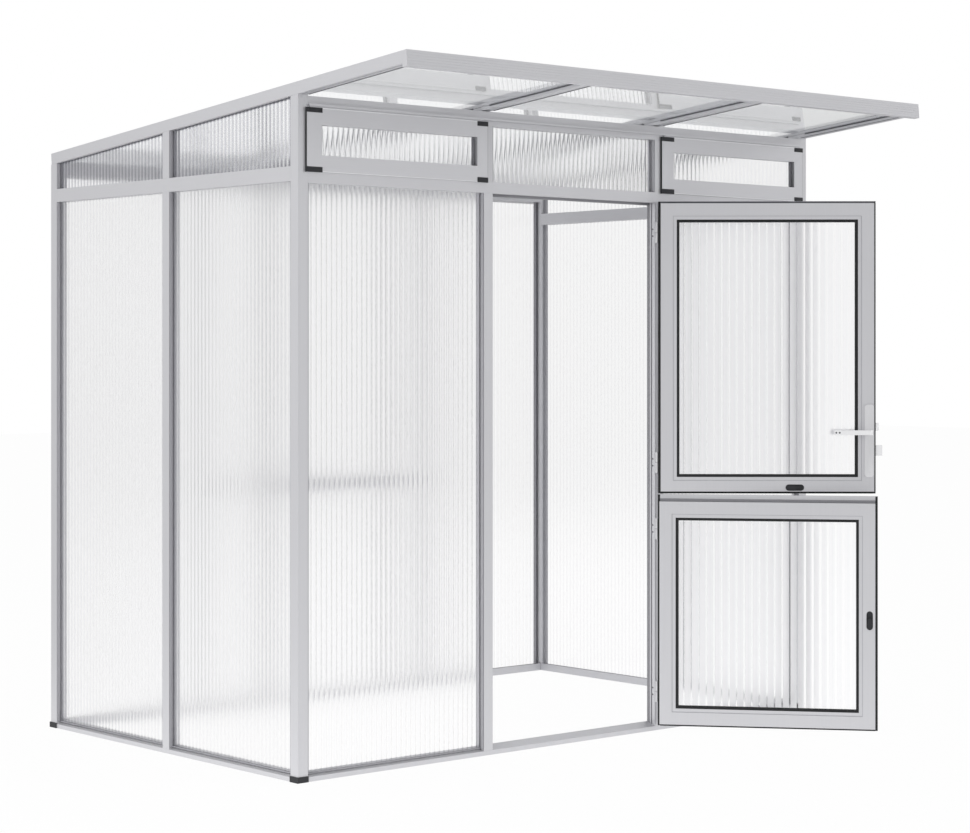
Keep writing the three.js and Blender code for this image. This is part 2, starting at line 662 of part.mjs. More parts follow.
function fascia() {
  const near = -ROOF_LENGTH;
  const far = near + FASCIA_DEPTH;
  const points = [[far, 0], [near, 0]];
  const step = FASCIA_HEIGHT / (FASCIA_REEDS + 1);
  for (let reed = 1; reed <= FASCIA_REEDS; reed += 1) {
    const z = -reed * step;
    points.push([near, z + FASCIA_REED / 2], [near + FASCIA_REED / 2, z], [near, z - FASCIA_REED / 2]);
  }
  points.push([near, -FASCIA_HEIGHT], [far, -FASCIA_HEIGHT]);
  return extrudeAcross(outline(points), -WIDTH / 2, WIDTH / 2);
}
mesh('fascia', fascia(), anodised, roof);

// Gutter behind the rear beam: a round-bottomed channel closed at both ends.
function gutterOutline(inset, top) {
  const radius = GUTTER_WIDTH / 2 - inset;
  const floor = GUTTER_HEIGHT - GUTTER_WIDTH / 2;
  const points = [[-GUTTER_WIDTH + inset, top], [-GUTTER_WIDTH + inset, -floor]];
  for (let step = 1; step < GUTTER_ARC_STEPS; step += 1) {
    const angle = Math.PI + (Math.PI * step) / GUTTER_ARC_STEPS;
    points.push([-GUTTER_WIDTH / 2 + radius * Math.cos(angle), -floor + radius * Math.sin(angle)]);
  }
  points.push([-inset, -floor], [-inset, top]);
  return outline(points);
}

function gutter() {
  const half = WIDTH / 2 - GUTTER_END_IN;
  const channel = extrudeAcross(gutterOutline(0, 0), -half, half);
  const inside = extrudeAcross(gutterOutline(GUTTER_WALL, OVERRUN), GUTTER_WALL - half, half - GUTTER_WALL);
  return moved(channel.subtract(inside), 0, -SEAT, REAR_BEAM_TOP + GUTTER_LIFT);
}
mesh('gutter', gutter(), anodised, rear);

// Door leaves. A leaf's frame has its origin on the hinge line at ground level and is drawn shut:
// x runs from the free edge (negative) to the hinge line, y inwards.
const LEAF_EDGE = LEAF_OVERLAP - HINGE_PAST_JAMB;
const LEAF_FREE = LEAF_EDGE - OPENING - 2 * LEAF_OVERLAP;
const FLANGE_BACK = HINGE_IN_FRONT - LEAF_SEAL_GAP;
const FLANGE_FRONT = FLANGE_BACK - LEAF_FLANGE;
const BODY_BACK = FLANGE_BACK + LEAF_BODY;
const BODY_HINGE_SIDE = -HINGE_PAST_JAMB - BODY_PLAY;
const BODY_FREE_SIDE = BODY_HINGE_SIDE - OPENING + 2 * BODY_PLAY;
const GLASS_LEFT = LEAF_FREE + LEAF_STILE;
const GLASS_RIGHT = LEAF_EDGE - LEAF_STILE;
const LEAF_SHEET_FRONT = FLANGE_FRONT + LEAF_SHEET_SET;

function leafFrame(open) {
  const frame = new THREE.Group();
  frame.position.set(JAMB_X + HINGE_PAST_JAMB, FRONT_FACE - HINGE_IN_FRONT, 0);
  frame.rotation.z = open;
  greenhouse.add(frame);
  return frame;
}

// Leaf frame: outer flange, deeper body, sheet groove, and a stepped glazing bead inside.
function leafBody({ low, top, bodyTop, glassLow, glassTop, hinges }) {
  const flange = block([LEAF_FREE, FLANGE_FRONT, low], [LEAF_EDGE, FLANGE_BACK, top]);
  const deep = block([BODY_FREE_SIDE, FLANGE_FRONT + LEAF_FLANGE / 2, low + BODY_RISE], [BODY_HINGE_SIDE, BODY_BACK, bodyTop]);
  const hole = block(
    [GLASS_LEFT, FLANGE_FRONT - OVERRUN, glassLow],
    [GLASS_RIGHT, BODY_BACK + OVERRUN, glassTop],
  );
  const groove = block(
    [GLASS_LEFT - GROOVE_DEPTH, LEAF_SHEET_FRONT - SHEET_PLAY, glassLow - GROOVE_DEPTH],
    [GLASS_RIGHT + GROOVE_DEPTH, LEAF_SHEET_FRONT + SHEET + SHEET_PLAY, glassTop + GROOVE_DEPTH],
  );
  const bead = block(
    [GLASS_LEFT - BEAD_WIDTH, BODY_BACK - BEAD_STEP, glassLow - BEAD_WIDTH],
    [GLASS_RIGHT + BEAD_WIDTH, BODY_BACK + OVERRUN, glassTop + BEAD_WIDTH],
  );
  let body = flange.add(deep).subtract(hole).subtract(groove).subtract(bead);
  for (const height of hinges) {
    const low1 = height + KNUCKLE_GAP / 2;
    const sweepLow = height - KNUCKLE_LENGTH - 2 * KNUCKLE_GAP;
    const sweep = low1 - sweepLow;
    body = body.subtract(bar(HINGE_SWEEP_RADIUS, KNUCKLE_SIDES, sweep, 'z', [0, 0, sweepLow + sweep / 2]));
    body = body.add(bar(KNUCKLE_RADIUS, KNUCKLE_SIDES, KNUCKLE_LENGTH, 'z', [0, 0, low1 + KNUCKLE_LENGTH / 2]));
    const bore = KNUCKLE_LENGTH + 2 * OVERRUN;
    const boreCentre = [0, 0, low1 + KNUCKLE_LENGTH / 2];
    body = body.subtract(bar(HINGE_PIN_RADIUS + PIN_PLAY, KNUCKLE_SIDES, bore, 'z', boreCentre));
  }
  return body;
}

function leafSheet(glassLow, glassTop) {
  const section = ribbedSection(GLASS_RIGHT - GLASS_LEFT + 2 * GROOVE_HOLD, LEAF_SHEET_FRONT, LEAF_RIB_PITCH);
  const body = extrudeUp(section, glassLow - GROOVE_HOLD, glassTop + GROOVE_HOLD);
  return moved(body, (GLASS_LEFT + GLASS_RIGHT) / 2, 0, 0);
}

// Slot through the free edge for a bolt, long enough for its travel.
const BOLT_NEAR = HINGE_IN_FRONT + BOLT_SET;

function boltSlot(height, tall, travel) {
  const low = [LEAF_FREE - OVERRUN, BOLT_NEAR - BOLT_PLAY, height - tall / 2 - BOLT_PLAY];
  const end = BODY_FREE_SIDE + BOLT_INSIDE + travel + BOLT_PLAY;
  return block(low, [end, BOLT_NEAR + BOLT_THICK + BOLT_PLAY, height + tall / 2 + BOLT_PLAY]);
}

// A stadium outline, upright or lying, centred on the origin.
function stadium(length, width, lying) {
  const straight = (length - width) / 2;
  const points = [];
  for (const end of [1, -1]) {
    for (let step = 0; step <= ARC_STEPS; step += 1) {
      const angle = -Math.PI / 2 + (Math.PI * step) / ARC_STEPS;
      const along = end * (straight + (width / 2) * Math.cos(angle));
      const across = (end * width * Math.sin(angle)) / 2;
      points.push(lying ? [along, across] : [across, along]);
    }
  }
  return outline(points);
}

function stadiumSolid(length, width, lying, centre, near, far) {
  return moved(extrudeBack(stadium(length, width, lying), near, far), centre[0], 0, centre[1]);
}

const upperLeaf = leafFrame(UPPER_LEAF_OPEN);
const lowerLeaf = leafFrame(LOWER_LEAF_OPEN);
const CATCH_SLIDE = (CATCH_LENGTH - THUMB_LENGTH) / 2 - THUMB_END_PLAY;
const UPPER_CATCH = [LEAF_EDGE - CATCH_FROM_HINGE, UPPER_CATCH_HEIGHT];
const LOWER_CATCH = [BODY_FREE_SIDE + LOWER_CATCH_INSET, LOWER_CATCH_HEIGHT];
const CATCH_FLOOR = BODY_BACK - CATCH_RECESS;
const LOCK_X = LEAF_FREE + LOCK_INSET;

function lockPlate() {
  const half = LOCK_PLATE_WIDTH / 2;
  const low = [LOCK_X - half, BODY_BACK - SECTION_WALL, LOCK_PLATE_LOW];
  return block(low, [LOCK_X + half, BODY_BACK + LOCK_PLATE_THICK, LOCK_PLATE_TOP]);
}

const upperGlass = [UPPER_LEAF_LOW + UPPER_BOTTOM_RAIL, UPPER_LEAF_TOP - UPPER_TOP_RAIL];
let upperBody = leafBody({
  low: UPPER_LEAF_LOW,
  top: UPPER_LEAF_TOP,
  bodyTop: UPPER_LEAF_TOP - BODY_RISE,
  glassLow: upperGlass[0],
  glassTop: upperGlass[1],
  hinges: UPPER_HINGE_HEIGHTS,
});
upperBody = upperBody.add(lockPlate());
upperBody = upperBody.subtract(boltSlot(BOLT_HEIGHT, BOLT_TALL, BOLT_TRAVEL));
upperBody = upperBody.subtract(boltSlot(LATCH_HEIGHT, LATCH_TALL, LATCH_TRAVEL));
const SPINDLE_LENGTH = LEVER_STAND + BODY_BACK - FLANGE_FRONT + 2 * OVERRUN;
const spindleCentre = [LOCK_X, (BODY_BACK + FLANGE_FRONT) / 2, LEVER_HEIGHT];
upperBody = upperBody.subtract(bar(SPINDLE_RADIUS + PIN_PLAY, KNUCKLE_SIDES, SPINDLE_LENGTH, 'y', spindleCentre));
upperBody = upperBody.subtract(
  stadiumSolid(CATCH_LENGTH, CATCH_WIDTH, true, UPPER_CATCH, CATCH_FLOOR, BODY_BACK + OVERRUN),
);
mesh('upper_leaf_frame', upperBody, anodised, upperLeaf);
mesh('upper_leaf_sheet', leafSheet(...upperGlass), ribbedSheet, upperLeaf);

const lowerGlass = [LOWER_LEAF_LOW + LOWER_BOTTOM_RAIL, LOWER_BODY_TOP - LOWER_TOP_RAIL];
let lowerBody = leafBody({
  low: LOWER_LEAF_LOW,
  top: LOWER_LEAF_TOP,
  bodyTop: LOWER_BODY_TOP,
  glassLow: lowerGlass[0],
  glassTop: lowerGlass[1],
  hinges: LOWER_HINGE_HEIGHTS,
});
lowerBody = lowerBody.subtract(
  stadiumSolid(CATCH_LENGTH, CATCH_WIDTH, false, LOWER_CATCH, CATCH_FLOOR, BODY_BACK + OVERRUN),
);
mesh('lower_leaf_frame', lowerBody, anodised, lowerLeaf);
mesh('lower_leaf_sheet', leafSheet(...lowerGlass), ribbedSheet, lowerLeaf);

// Thumb pieces of the two catches, each at one end of its recess.
function thumb(lying, recess, shift) {
  const centre = lying ? [recess[0] + shift, recess[1]] : [recess[0], recess[1] + shift];
  return stadiumSolid(THUMB_LENGTH, THUMB_WIDTH, lying, centre, CATCH_FLOOR + SEAT, BODY_BACK + THUMB_PROUD);
}
mesh('upper_catch', thumb(true, UPPER_CATCH, CATCH_SLIDE), blackPlastic, upperLeaf);
mesh('lower_catch', thumb(false, LOWER_CATCH, -CATCH_SLIDE), blackPlastic, lowerLeaf);

// Lever: a spindle through the leaf with a bent handle on each face.
function leverArm(side) {
  const face = side > 0 ? BODY_BACK + LOCK_PLATE_THICK : FLANGE_FRONT;
  const rose = face + side * SEAT;
  const outer = face + side * LEVER_STAND;
  const inner = outer - side * LEVER_THICK;
  const bend = LEVER_LENGTH * LEVER_BEND_SHARE;
  const stem = outline([
    [-LEVER_WIDTH / 2, rose],
    [LEVER_WIDTH / 2, rose],
    [LEVER_WIDTH / 2, inner - side * LEVER_THICK],
    [bend, inner],
    [LEVER_LENGTH, inner],
    [LEVER_LENGTH + LEVER_THICK / 2, (inner + outer) / 2],
    [LEVER_LENGTH, outer],
    [0, outer],
    [-LEVER_WIDTH / 2, outer - (side * LEVER_THICK) / 2],
  ]);
  const low = LEVER_HEIGHT - LEVER_WIDTH / 2;
  return moved(extrudeUp(stem, low, low + LEVER_WIDTH), LOCK_X, 0, 0);
}

function lever() {
  const from = FLANGE_FRONT - SEAT - SECTION_WALL;
  const to = BODY_BACK + LOCK_PLATE_THICK + SEAT + SECTION_WALL;
  const spindle = bar(SPINDLE_RADIUS, KNUCKLE_SIDES, to - from, 'y', [LOCK_X, (from + to) / 2, LEVER_HEIGHT]);
  return spindle.add(leverArm(1)).add(leverArm(-1));
}
mesh('lever_handle', lever(), satinSilver, upperLeaf);

// Deadbolt, thrown, and the spring latch with its slanted nose.
function boltBody(height, tall, out) {
  const low = [LEAF_FREE - out, BOLT_NEAR, height - tall / 2];
  return block(low, [BODY_FREE_SIDE + BOLT_INSIDE, BOLT_NEAR + BOLT_THICK, height + tall / 2]);
}
mesh('deadbolt', boltBody(BOLT_HEIGHT, BOLT_TALL, BOLT_OUT), satinSilver, upperLeaf);

function latch() {
  const nose = LEAF_FREE - LATCH_OUT;
  const shape = outline([
    [BODY_FREE_SIDE + BOLT_INSIDE, BOLT_NEAR],
    [BODY_FREE_SIDE + BOLT_INSIDE, BOLT_NEAR + BOLT_THICK],
    [nose + LATCH_OUT, BOLT_NEAR + BOLT_THICK],
    [nose, BOLT_NEAR + LATCH_NOSE],
    [nose, BOLT_NEAR],
  ]);
  return extrudeUp(shape, LATCH_HEIGHT - LATCH_TALL / 2, LATCH_HEIGHT + LATCH_TALL / 2);
}
mesh('latch_bolt', latch(), satinSilver, upperLeaf);

// Vents. A vent's frame has its origin on the hinge line, in the middle of the bay.
function ventBody() {
  const half = SIDE_BAY / 2 + VENT_OVERLAP;
  const faceBack = -VENT_AXIS_Y - VENT_GAP;
  const faceFront = faceBack - VENT_FLANGE;
  const faceTop = -VENT_NECK_HEIGHT;
  const faceLow = VENT_LOW - VENT_AXIS_HEIGHT;
  const innerHalf = SIDE_BAY / 2 - VENT_INNER_PLAY;
  const innerTop = TOP_RAIL_LOW - VENT_AXIS_HEIGHT - VENT_INNER_PLAY;
  const innerLow = HEAD_RAIL_TOP - VENT_AXIS_HEIGHT + VENT_INNER_PLAY;
  const innerBack = faceBack + VENT_INNER_DEPTH;
  const glassLeft = VENT_LEFT_STILE - half;
  const glassRight = half - VENT_RIGHT_STILE;
  const glassTop = faceTop - VENT_TOP_RAIL;
  const glassLow = faceLow + VENT_LOW_RAIL;
  const sheetFront = faceFront + VENT_SHEET_SET;
  let body = block([-half, faceFront, faceLow], [half, faceBack, faceTop]);
  body = body.add(block([-innerHalf, faceBack - VENT_FLANGE / 2, innerLow], [innerHalf, innerBack, innerTop]));
  body = body.subtract(block([glassLeft, faceFront - OVERRUN, glassLow], [glassRight, innerBack + OVERRUN, glassTop]));
  const grooveLow = [glassLeft - GROOVE_DEPTH, sheetFront - SHEET_PLAY, glassLow - GROOVE_DEPTH];
  const grooveHigh = [glassRight + GROOVE_DEPTH, sheetFront + SHEET + SHEET_PLAY, glassTop + GROOVE_DEPTH];
  body = body.subtract(block(grooveLow, grooveHigh));
  body = body.add(block([-innerHalf, -VENT_NECK / 2, faceTop - VENT_NECK], [innerHalf, VENT_NECK / 2, 0]));
  body = body.add(bar(VENT_BEAD_RADIUS, VENT_BEAD_SIDES, 2 * innerHalf, 'x', [0, 0, 0]));
  const section = ribbedSection(glassRight - glassLeft + 2 * GROOVE_HOLD, sheetFront);
  const upright = extrudeUp(section, glassLow - GROOVE_HOLD, glassTop + GROOVE_HOLD);
  const sheet = moved(upright, (glassLeft + glassRight) / 2, 0, 0);
  return { body, sheet };
}

for (const side of [-1, 1]) {
  const frame = new THREE.Group();
  frame.position.set(side * FRONT_BAY_X, FRONT_FACE + VENT_AXIS_Y, VENT_AXIS_HEIGHT);
  greenhouse.add(frame);
  const name = side < 0 ? 'left_vent' : 'right_vent';
  const vent = ventBody();
  mesh(`${name}_frame`, vent.body, anodised, frame);
  mesh(`${name}_sheet`, vent.sheet, ribbedSheet, frame);
}

greenhouse.updateMatrixWorld(true);
export default greenhouse;
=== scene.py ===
"""Lean-to greenhouse: finishes, seals, trim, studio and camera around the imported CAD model.

Every place is in the CAD frame: +X right along the front, +Y from the front to the rear, +Z up.
Local sizes are in millimetres and become metres through each sub-assembly's own place.
"""

import json
import logging
import math
from dataclasses import dataclass
from enum import Enum
from typing import Iterable, Sequence

import bmesh
import bpy
from mathutils import Matrix, Vector


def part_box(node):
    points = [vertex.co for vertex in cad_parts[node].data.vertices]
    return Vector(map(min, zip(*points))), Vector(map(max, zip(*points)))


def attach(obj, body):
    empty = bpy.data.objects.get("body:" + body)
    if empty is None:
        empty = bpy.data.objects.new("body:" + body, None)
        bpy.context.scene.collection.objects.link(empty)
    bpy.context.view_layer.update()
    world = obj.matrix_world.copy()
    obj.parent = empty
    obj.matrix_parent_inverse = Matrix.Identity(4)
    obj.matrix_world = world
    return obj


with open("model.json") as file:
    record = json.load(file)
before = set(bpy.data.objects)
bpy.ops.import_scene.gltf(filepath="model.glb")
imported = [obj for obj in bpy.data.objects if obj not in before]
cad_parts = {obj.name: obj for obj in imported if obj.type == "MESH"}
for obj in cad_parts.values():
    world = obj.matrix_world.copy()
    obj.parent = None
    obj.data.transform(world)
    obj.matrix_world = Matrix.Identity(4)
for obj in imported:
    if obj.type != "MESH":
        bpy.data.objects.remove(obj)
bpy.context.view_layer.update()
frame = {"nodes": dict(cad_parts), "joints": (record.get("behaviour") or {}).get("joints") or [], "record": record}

LOG = logging.getLogger("greenhouse")
ROOT = "root"

MM = 0.001
GAP = 0.1  # air between a seal and the flat of a solid, in mm
CORNER_GAP = 0.2  # the same in a corner
INSET = 0.3  # how far a seal stays behind the edge of its solid, in mm
LIP_EDGE = 0.3  # round of a thin lip's edges, in mm
SEAL_EDGE = 1.2  # round of a thick seal's edges, in mm
WALL_RIB_MM = 22.0  # rib spacing of the fixed sheets and the vents
LEAF_RIB_MM = 29.0

ALUMINIUM_SLOT = "anodised_aluminium"
STEEL_SLOT = "satin_silver"
PLASTIC_SLOT = "black_plastic"

Point = Sequence[float]
Pair = tuple[float, float]
Colour = tuple[float, float, float, float]
Tree = bpy.types.NodeTree
Socket = bpy.types.NodeSocket
Face = bmesh.types.BMFace

# node types and settings that come back often
MATHS = "ShaderNodeMath"
VECTORS = "ShaderNodeVectorMath"
NOISE = "ShaderNodeTexNoise"
BUMP = "ShaderNodeBump"
BLEND = "ShaderNodeMix"
PRINCIPLED = "ShaderNodeBsdfPrincipled"
COLOURS = {"data_type": "RGBA"}
SMOOTH = {"interpolation_type": "SMOOTHSTEP"}
PLUS = {"operation": "ADD"}
TIMES = {"operation": "MULTIPLY"}
TIMES_PLUS = {"operation": "MULTIPLY_ADD"}
GREATER_OF = {"operation": "MAXIMUM"}


# ---------------------------------------------------------------- colours and nodes


def linear(hex_colour: str) -> Colour:
    """Turns an sRGB hex colour into the linear colour that shaders use.

    Args:
        hex_colour: six hex digits, such as "C9CACC".

    Returns:
        Linear red, green, blue and an alpha of one.
    """
    channels = [int(hex_colour[i : i + 2], 16) / 255 for i in (0, 2, 4)]
    straight = [c / 12.92 if c <= 0.04045 else ((c + 0.055) / 1.055) ** 2.4 for c in channels]
    return (straight[0], straight[1], straight[2], 1.0)


def add_node(tree: Tree, kind: str, settings: dict | None = None, **inputs: object) -> bpy.types.Node:
    """Adds one node, with its settings, its socket values and its links.

    Args:
        tree: the node tree to add to.
        kind: the node's type name.
        settings: properties of the node itself, such as its operation.
        inputs: socket values or sockets to link, by name; "in0" means the first socket.

    Returns:
        The new node.
    """
    node = tree.nodes.new(kind)
    for key, value in (settings or {}).items():
        setattr(node, key, value)
    for key, value in inputs.items():
        numbered = key[:2] == "in" and key[2:].isdigit()
        socket = node.inputs[int(key[2:]) if numbered else key.replace("_", " ")]
        if isinstance(value, Socket):
            tree.links.new(value, socket)
        else:
            socket.default_value = value
    return node


def new_material(name: str) -> tuple[bpy.types.Material, Tree, bpy.types.Node]:
    """Makes an empty node material.

    Args:
        name: the material's name.

    Returns:
        The material, its tree and its output node.
    """
    material = bpy.data.materials.new(name)
    material.use_nodes = True
    tree = material.node_tree
    tree.nodes.clear()
    return material, tree, add_node(tree, "ShaderNodeOutputMaterial")


def pass_light(tree: Tree, shader: bpy.types.Node, out: bpy.types.Node, tint: str) -> None:
    """Puts a sheet's shader on its material, and lets the lamps shine straight through the sheet.

    Args:
        tree: the material's tree.
        shader: the sheet's own shader.
        out: the material's output node.
        tint: hex colour of the light that comes through.
    """
    open_air = add_node(tree, "ShaderNodeBsdfTransparent", Color=linear(tint))
    shadow = add_node(tree, "ShaderNodeLightPath").outputs["Is Shadow Ray"]
    mixed = add_node(tree, "ShaderNodeMixShader", in0=shadow, in1=shader.outputs[0], in2=open_air.outputs[0])
    tree.links.new(mixed.outputs[0], out.inputs[0])


# ---------------------------------------------------------------- finishes


class Grain(Enum):
    """Which way a profile was drawn through its die: the streaks run that way."""

    UP = (1.0, 1.0, 0.02)
    ALONG_X = (0.02, 1.0, 1.0)
    ALONG_Y = (1.0, 0.02, 1.0)


@dataclass(frozen=True)
class AnodisedAluminium:
    """Natural anodised aluminium, extruded and etched to a satin.

    The eye sees a pale even grey with very faint streaks along the profile and soft, wide reflections.
    """

    name: str
    grain: Grain
    base: str = "D6D6D9"
    streak: str = "CDCDD1"
    metallic: float = 0.55
    roughness: float = 0.44
    rough_spread: float = 0.12
    streak_mm: float = 5.0  # real die lines are under 1 mm apart; drawn coarser so that they show
    streak_share: float = 0.65  # the rest is the slow change of the bath's tone
    cloud_mm: float = 260.0
    bump: float = 0.04
    relief_mm: float = 0.5

    def build(self) -> bpy.types.Material:
        """Builds the node material.

        Returns:
            The material.
        """
        material, tree, out = new_material(self.name)
        place = add_node(tree, "ShaderNodeTexCoord").outputs["Object"]
        stretched = add_node(tree, "ShaderNodeMapping", Vector=place, Scale=self.grain.value).outputs[0]
        scale = 1 / (self.streak_mm * MM)
        lines = add_node(tree, NOISE, Vector=stretched, Scale=scale, Detail=3.0, Roughness=0.6).outputs[0]
        clouds = add_node(tree, NOISE, Vector=place, Scale=1 / (self.cloud_mm * MM), Detail=2.0).outputs[0]
        slow = add_node(tree, MATHS, TIMES, in0=clouds, in1=1 - self.streak_share).outputs[0]
        mixed = add_node(tree, MATHS, TIMES_PLUS, in0=lines, in1=self.streak_share, in2=slow).outputs[0]
        tone = add_node(tree, BLEND, COLOURS, in0=mixed, in6=linear(self.streak), in7=linear(self.base))
        smoothest = self.roughness - self.rough_spread / 2
        rough = add_node(tree, MATHS, TIMES_PLUS, in0=mixed, in1=self.rough_spread, in2=smoothest)
        relief = add_node(tree, BUMP, Strength=self.bump, Distance=self.relief_mm * MM, Height=lines)
        shader = add_node(
            tree,
            PRINCIPLED,
            Base_Color=tone.outputs[2],
            Metallic=self.metallic,
            Roughness=rough.outputs[0],
            Normal=relief.outputs[0],
        )
        tree.links.new(shader.outputs[0], out.inputs[0])
        return material


@dataclass(frozen=True)
class Moulded:
    """A moulded or extruded polymer with a fine grain, such as EPDM rubber, TPE or nylon.

    The eye sees an even colour with a dull, slightly grainy sheen.
    """

    name: str
    base: str
    lift: str
    roughness: float = 0.66
    rough_spread: float = 0.16
    grain_mm: float = 0.9
    bump: float = 0.12
    relief_mm: float = 0.4

    def build(self) -> bpy.types.Material:
        """Builds the node material.

        Returns:
            The material.
        """
        material, tree, out = new_material(self.name)
        place = add_node(tree, "ShaderNodeTexCoord").outputs["Object"]
        grit = add_node(tree, NOISE, Vector=place, Scale=1 / (self.grain_mm * MM), Detail=4.0).outputs[0]
        tone = add_node(tree, BLEND, COLOURS, in0=grit, in6=linear(self.base), in7=linear(self.lift))
        smoothest = self.roughness - self.rough_spread / 2
        rough = add_node(tree, MATHS, TIMES_PLUS, in0=grit, in1=self.rough_spread, in2=smoothest).outputs[0]
        relief = add_node(tree, BUMP, Strength=self.bump, Distance=self.relief_mm * MM, Height=grit)
        normal = relief.outputs[0]
        shader = add_node(tree, PRINCIPLED, Base_Color=tone.outputs[2], Roughness=rough, Normal=normal)
        tree.links.new(shader.outputs[0], out.inputs[0])
        return material


@dataclass(frozen=True)
class SatinSteel:
    """Satin nickel-plated zinc or steel, brushed one way: bright, soft-edged highlights."""

    name: str
    base: str = "ECEDEE"
    shade: str = "DDDEE0"
    roughness: float = 0.36
    metallic: float = 0.8
    brush_mm: float = 2.5  # coarser than the real 0.3 mm brushing, so that it shows
    stretch: tuple[float, float, float] = (1.0, 1.0, 0.05)
    bump: float = 0.05
    relief_mm: float = 0.3

    def build(self) -> bpy.types.Material:
        """Builds the node material.

        Returns:
            The material.
        """
        material, tree, out = new_material(self.name)
        place = add_node(tree, "ShaderNodeTexCoord").outputs["Object"]
        stretched = add_node(tree, "ShaderNodeMapping", Vector=place, Scale=self.stretch).outputs[0]
        scale = 1 / (self.brush_mm * MM)
        brushed = add_node(tree, NOISE, Vector=stretched, Scale=scale, Detail=3.0).outputs[0]
        tone = add_node(tree, BLEND, COLOURS, in0=brushed, in6=linear(self.shade), in7=linear(self.base))
        relief = add_node(tree, BUMP, Strength=self.bump, Distance=self.relief_mm * MM, Height=brushed)
        shader = add_node(
            tree,
            PRINCIPLED,
            Base_Color=tone.outputs[2],
            Metallic=self.metallic,
            Roughness=self.roughness,
            Normal=relief.outputs[0],
        )
        tree.links.new(shader.outputs[0], out.inputs[0])
        return material


@dataclass(frozen=True)
class RibbedPolycarbonate:
    """Extruded translucent polycarbonate with upright ribs.

    Each rib is a small lens: the eye sees fine stripes, and a dark rail behind them breaks into a row of dashes.
    The bright line on each rib has its own roughness and a paler tint than the dull stripe; that paler tint is a
    painted highlight.
    """

    name: str
    along: float  # direction of the wall on plan, in radians
    centre: Point  # a point of the sheet's middle line, in metres
    pitch: float  # rib spacing in metres
    bright: str = "FFFFFF"
    dull: str = "FCFCFD"
    rise: float = 0.1  # up to this share of the wave the dull stripe runs
    fall: float = 0.5  # and from this share on the bright line
    dull_roughness: float = 0.09
    line_roughness: float = 0.18
    line_turn: float = 0.0  # where the bright line lies: 0 on the flank of a rib, a quarter turn on its crown
    rib_mm: float = 2.2  # height of a rib above its furrow
    ior: float = 1.28  # under the real 1.58, whose four faces in a row would cost too much light
    tint: str = "D2D2D6"

    def build(self) -> bpy.types.Material:
        """Builds the node material.

        Returns:
            The material.
        """
        material, tree, out = new_material(self.name)
        coords = add_node(tree, "ShaderNodeTexCoord").outputs
        minus = {"operation": "SUBTRACT"}
        middle = add_node(tree, VECTORS, minus, in0=coords["Object"], in1=tuple(self.centre)).outputs[0]
        unturn = (0.0, 0.0, -self.along)
        turned = add_node(tree, "ShaderNodeMapping", Vector=middle, Rotation=unturn).outputs[0]
        across = add_node(tree, "ShaderNodeSeparateXYZ", Vector=turned).outputs[0]
        turns = add_node(tree, MATHS, TIMES, in0=across, in1=2 * math.pi / self.pitch).outputs[0]
        wave = add_node(tree, MATHS, {"operation": "COSINE"}, in0=turns).outputs[0]
        shifted = add_node(tree, MATHS, PLUS, in0=turns, in1=self.line_turn).outputs[0]
        crest = add_node(tree, MATHS, {"operation": "SINE"}, in0=shifted).outputs[0]
        flank = add_node(tree, MATHS, TIMES_PLUS, in0=crest, in1=0.5, in2=0.5).outputs[0]
        # ribs stand on the outer face alone: one there, none on the face that looks inwards
        inwards = (-math.sin(self.along), math.cos(self.along), 0.0)
        dot = {"operation": "DOT_PRODUCT"}
        facing = add_node(tree, VECTORS, dot, in0=coords["Normal"], in1=inwards).outputs["Value"]
        clamped = TIMES_PLUS | {"use_clamp": True}
        outer = add_node(tree, MATHS, clamped, in0=facing, in1=-0.5, in2=0.5).outputs[0]
        height = add_node(tree, MATHS, TIMES, in0=wave, in1=outer).outputs[0]
        relief = add_node(tree, BUMP, Strength=1.0, Distance=self.rib_mm * MM / 2, Height=height)
        limits = {"From_Min": self.rise, "From_Max": self.fall}
        line = add_node(tree, "ShaderNodeMapRange", SMOOTH, Value=flank, **limits).outputs[0]
        spread = self.line_roughness - self.dull_roughness
        rough = add_node(tree, MATHS, TIMES_PLUS, in0=line, in1=spread, in2=self.dull_roughness)
        # painted highlight: the bright line's paler tint
        tone = add_node(tree, BLEND, COLOURS, in0=line, in6=linear(self.dull), in7=linear(self.bright))
        sheet = add_node(
            tree,
            PRINCIPLED,
            Base_Color=tone.outputs[2],
            Roughness=rough.outputs[0],
            IOR=self.ior,
            Transmission_Weight=1.0,
            Normal=relief.outputs[0],
        )
        pass_light(tree, sheet, out, self.tint)
        return material


@dataclass(frozen=True)
class ClearSheet:
    """Clear flat acrylic roof pane: nearly invisible face on, mirror-like at a shallow angle."""

    name: str
    base: str = "FCFDFE"
    roughness: float = 0.015
    rough_spread: float = 0.02
    haze_mm: float = 1000.0 / 3  # three clouds of haze to the metre
    ior: float = 1.49
    tint: str = "E8EAEC"

    def build(self) -> bpy.types.Material:
        """Builds the node material.

        Returns:
            The material.
        """
        material, tree, out = new_material(self.name)
        place = add_node(tree, "ShaderNodeTexCoord").outputs["Object"]
        haze = add_node(tree, NOISE, Vector=place, Scale=1 / (self.haze_mm * MM), Detail=2.0).outputs[0]
        rough = add_node(tree, MATHS, TIMES_PLUS, in0=haze, in1=self.rough_spread, in2=self.roughness)
        pane = add_node(
            tree,
            PRINCIPLED,
            Base_Color=linear(self.base),
            Roughness=rough.outputs[0],
            IOR=self.ior,
            Transmission_Weight=1.0,
        )
        pass_light(tree, pane, out, self.tint)
        return material


# ---------------------------------------------------------------- pieces from bmesh operators


INSET_RIM = {"use_boundary": True, "use_even_offset": True}
ARC_STEPS = 12  # straight pieces in a half circle
CORNER_ANGLE = 0.5  # an edge that turns by more radians than this is a corner to round
SHARP_ANGLE = math.radians(38)


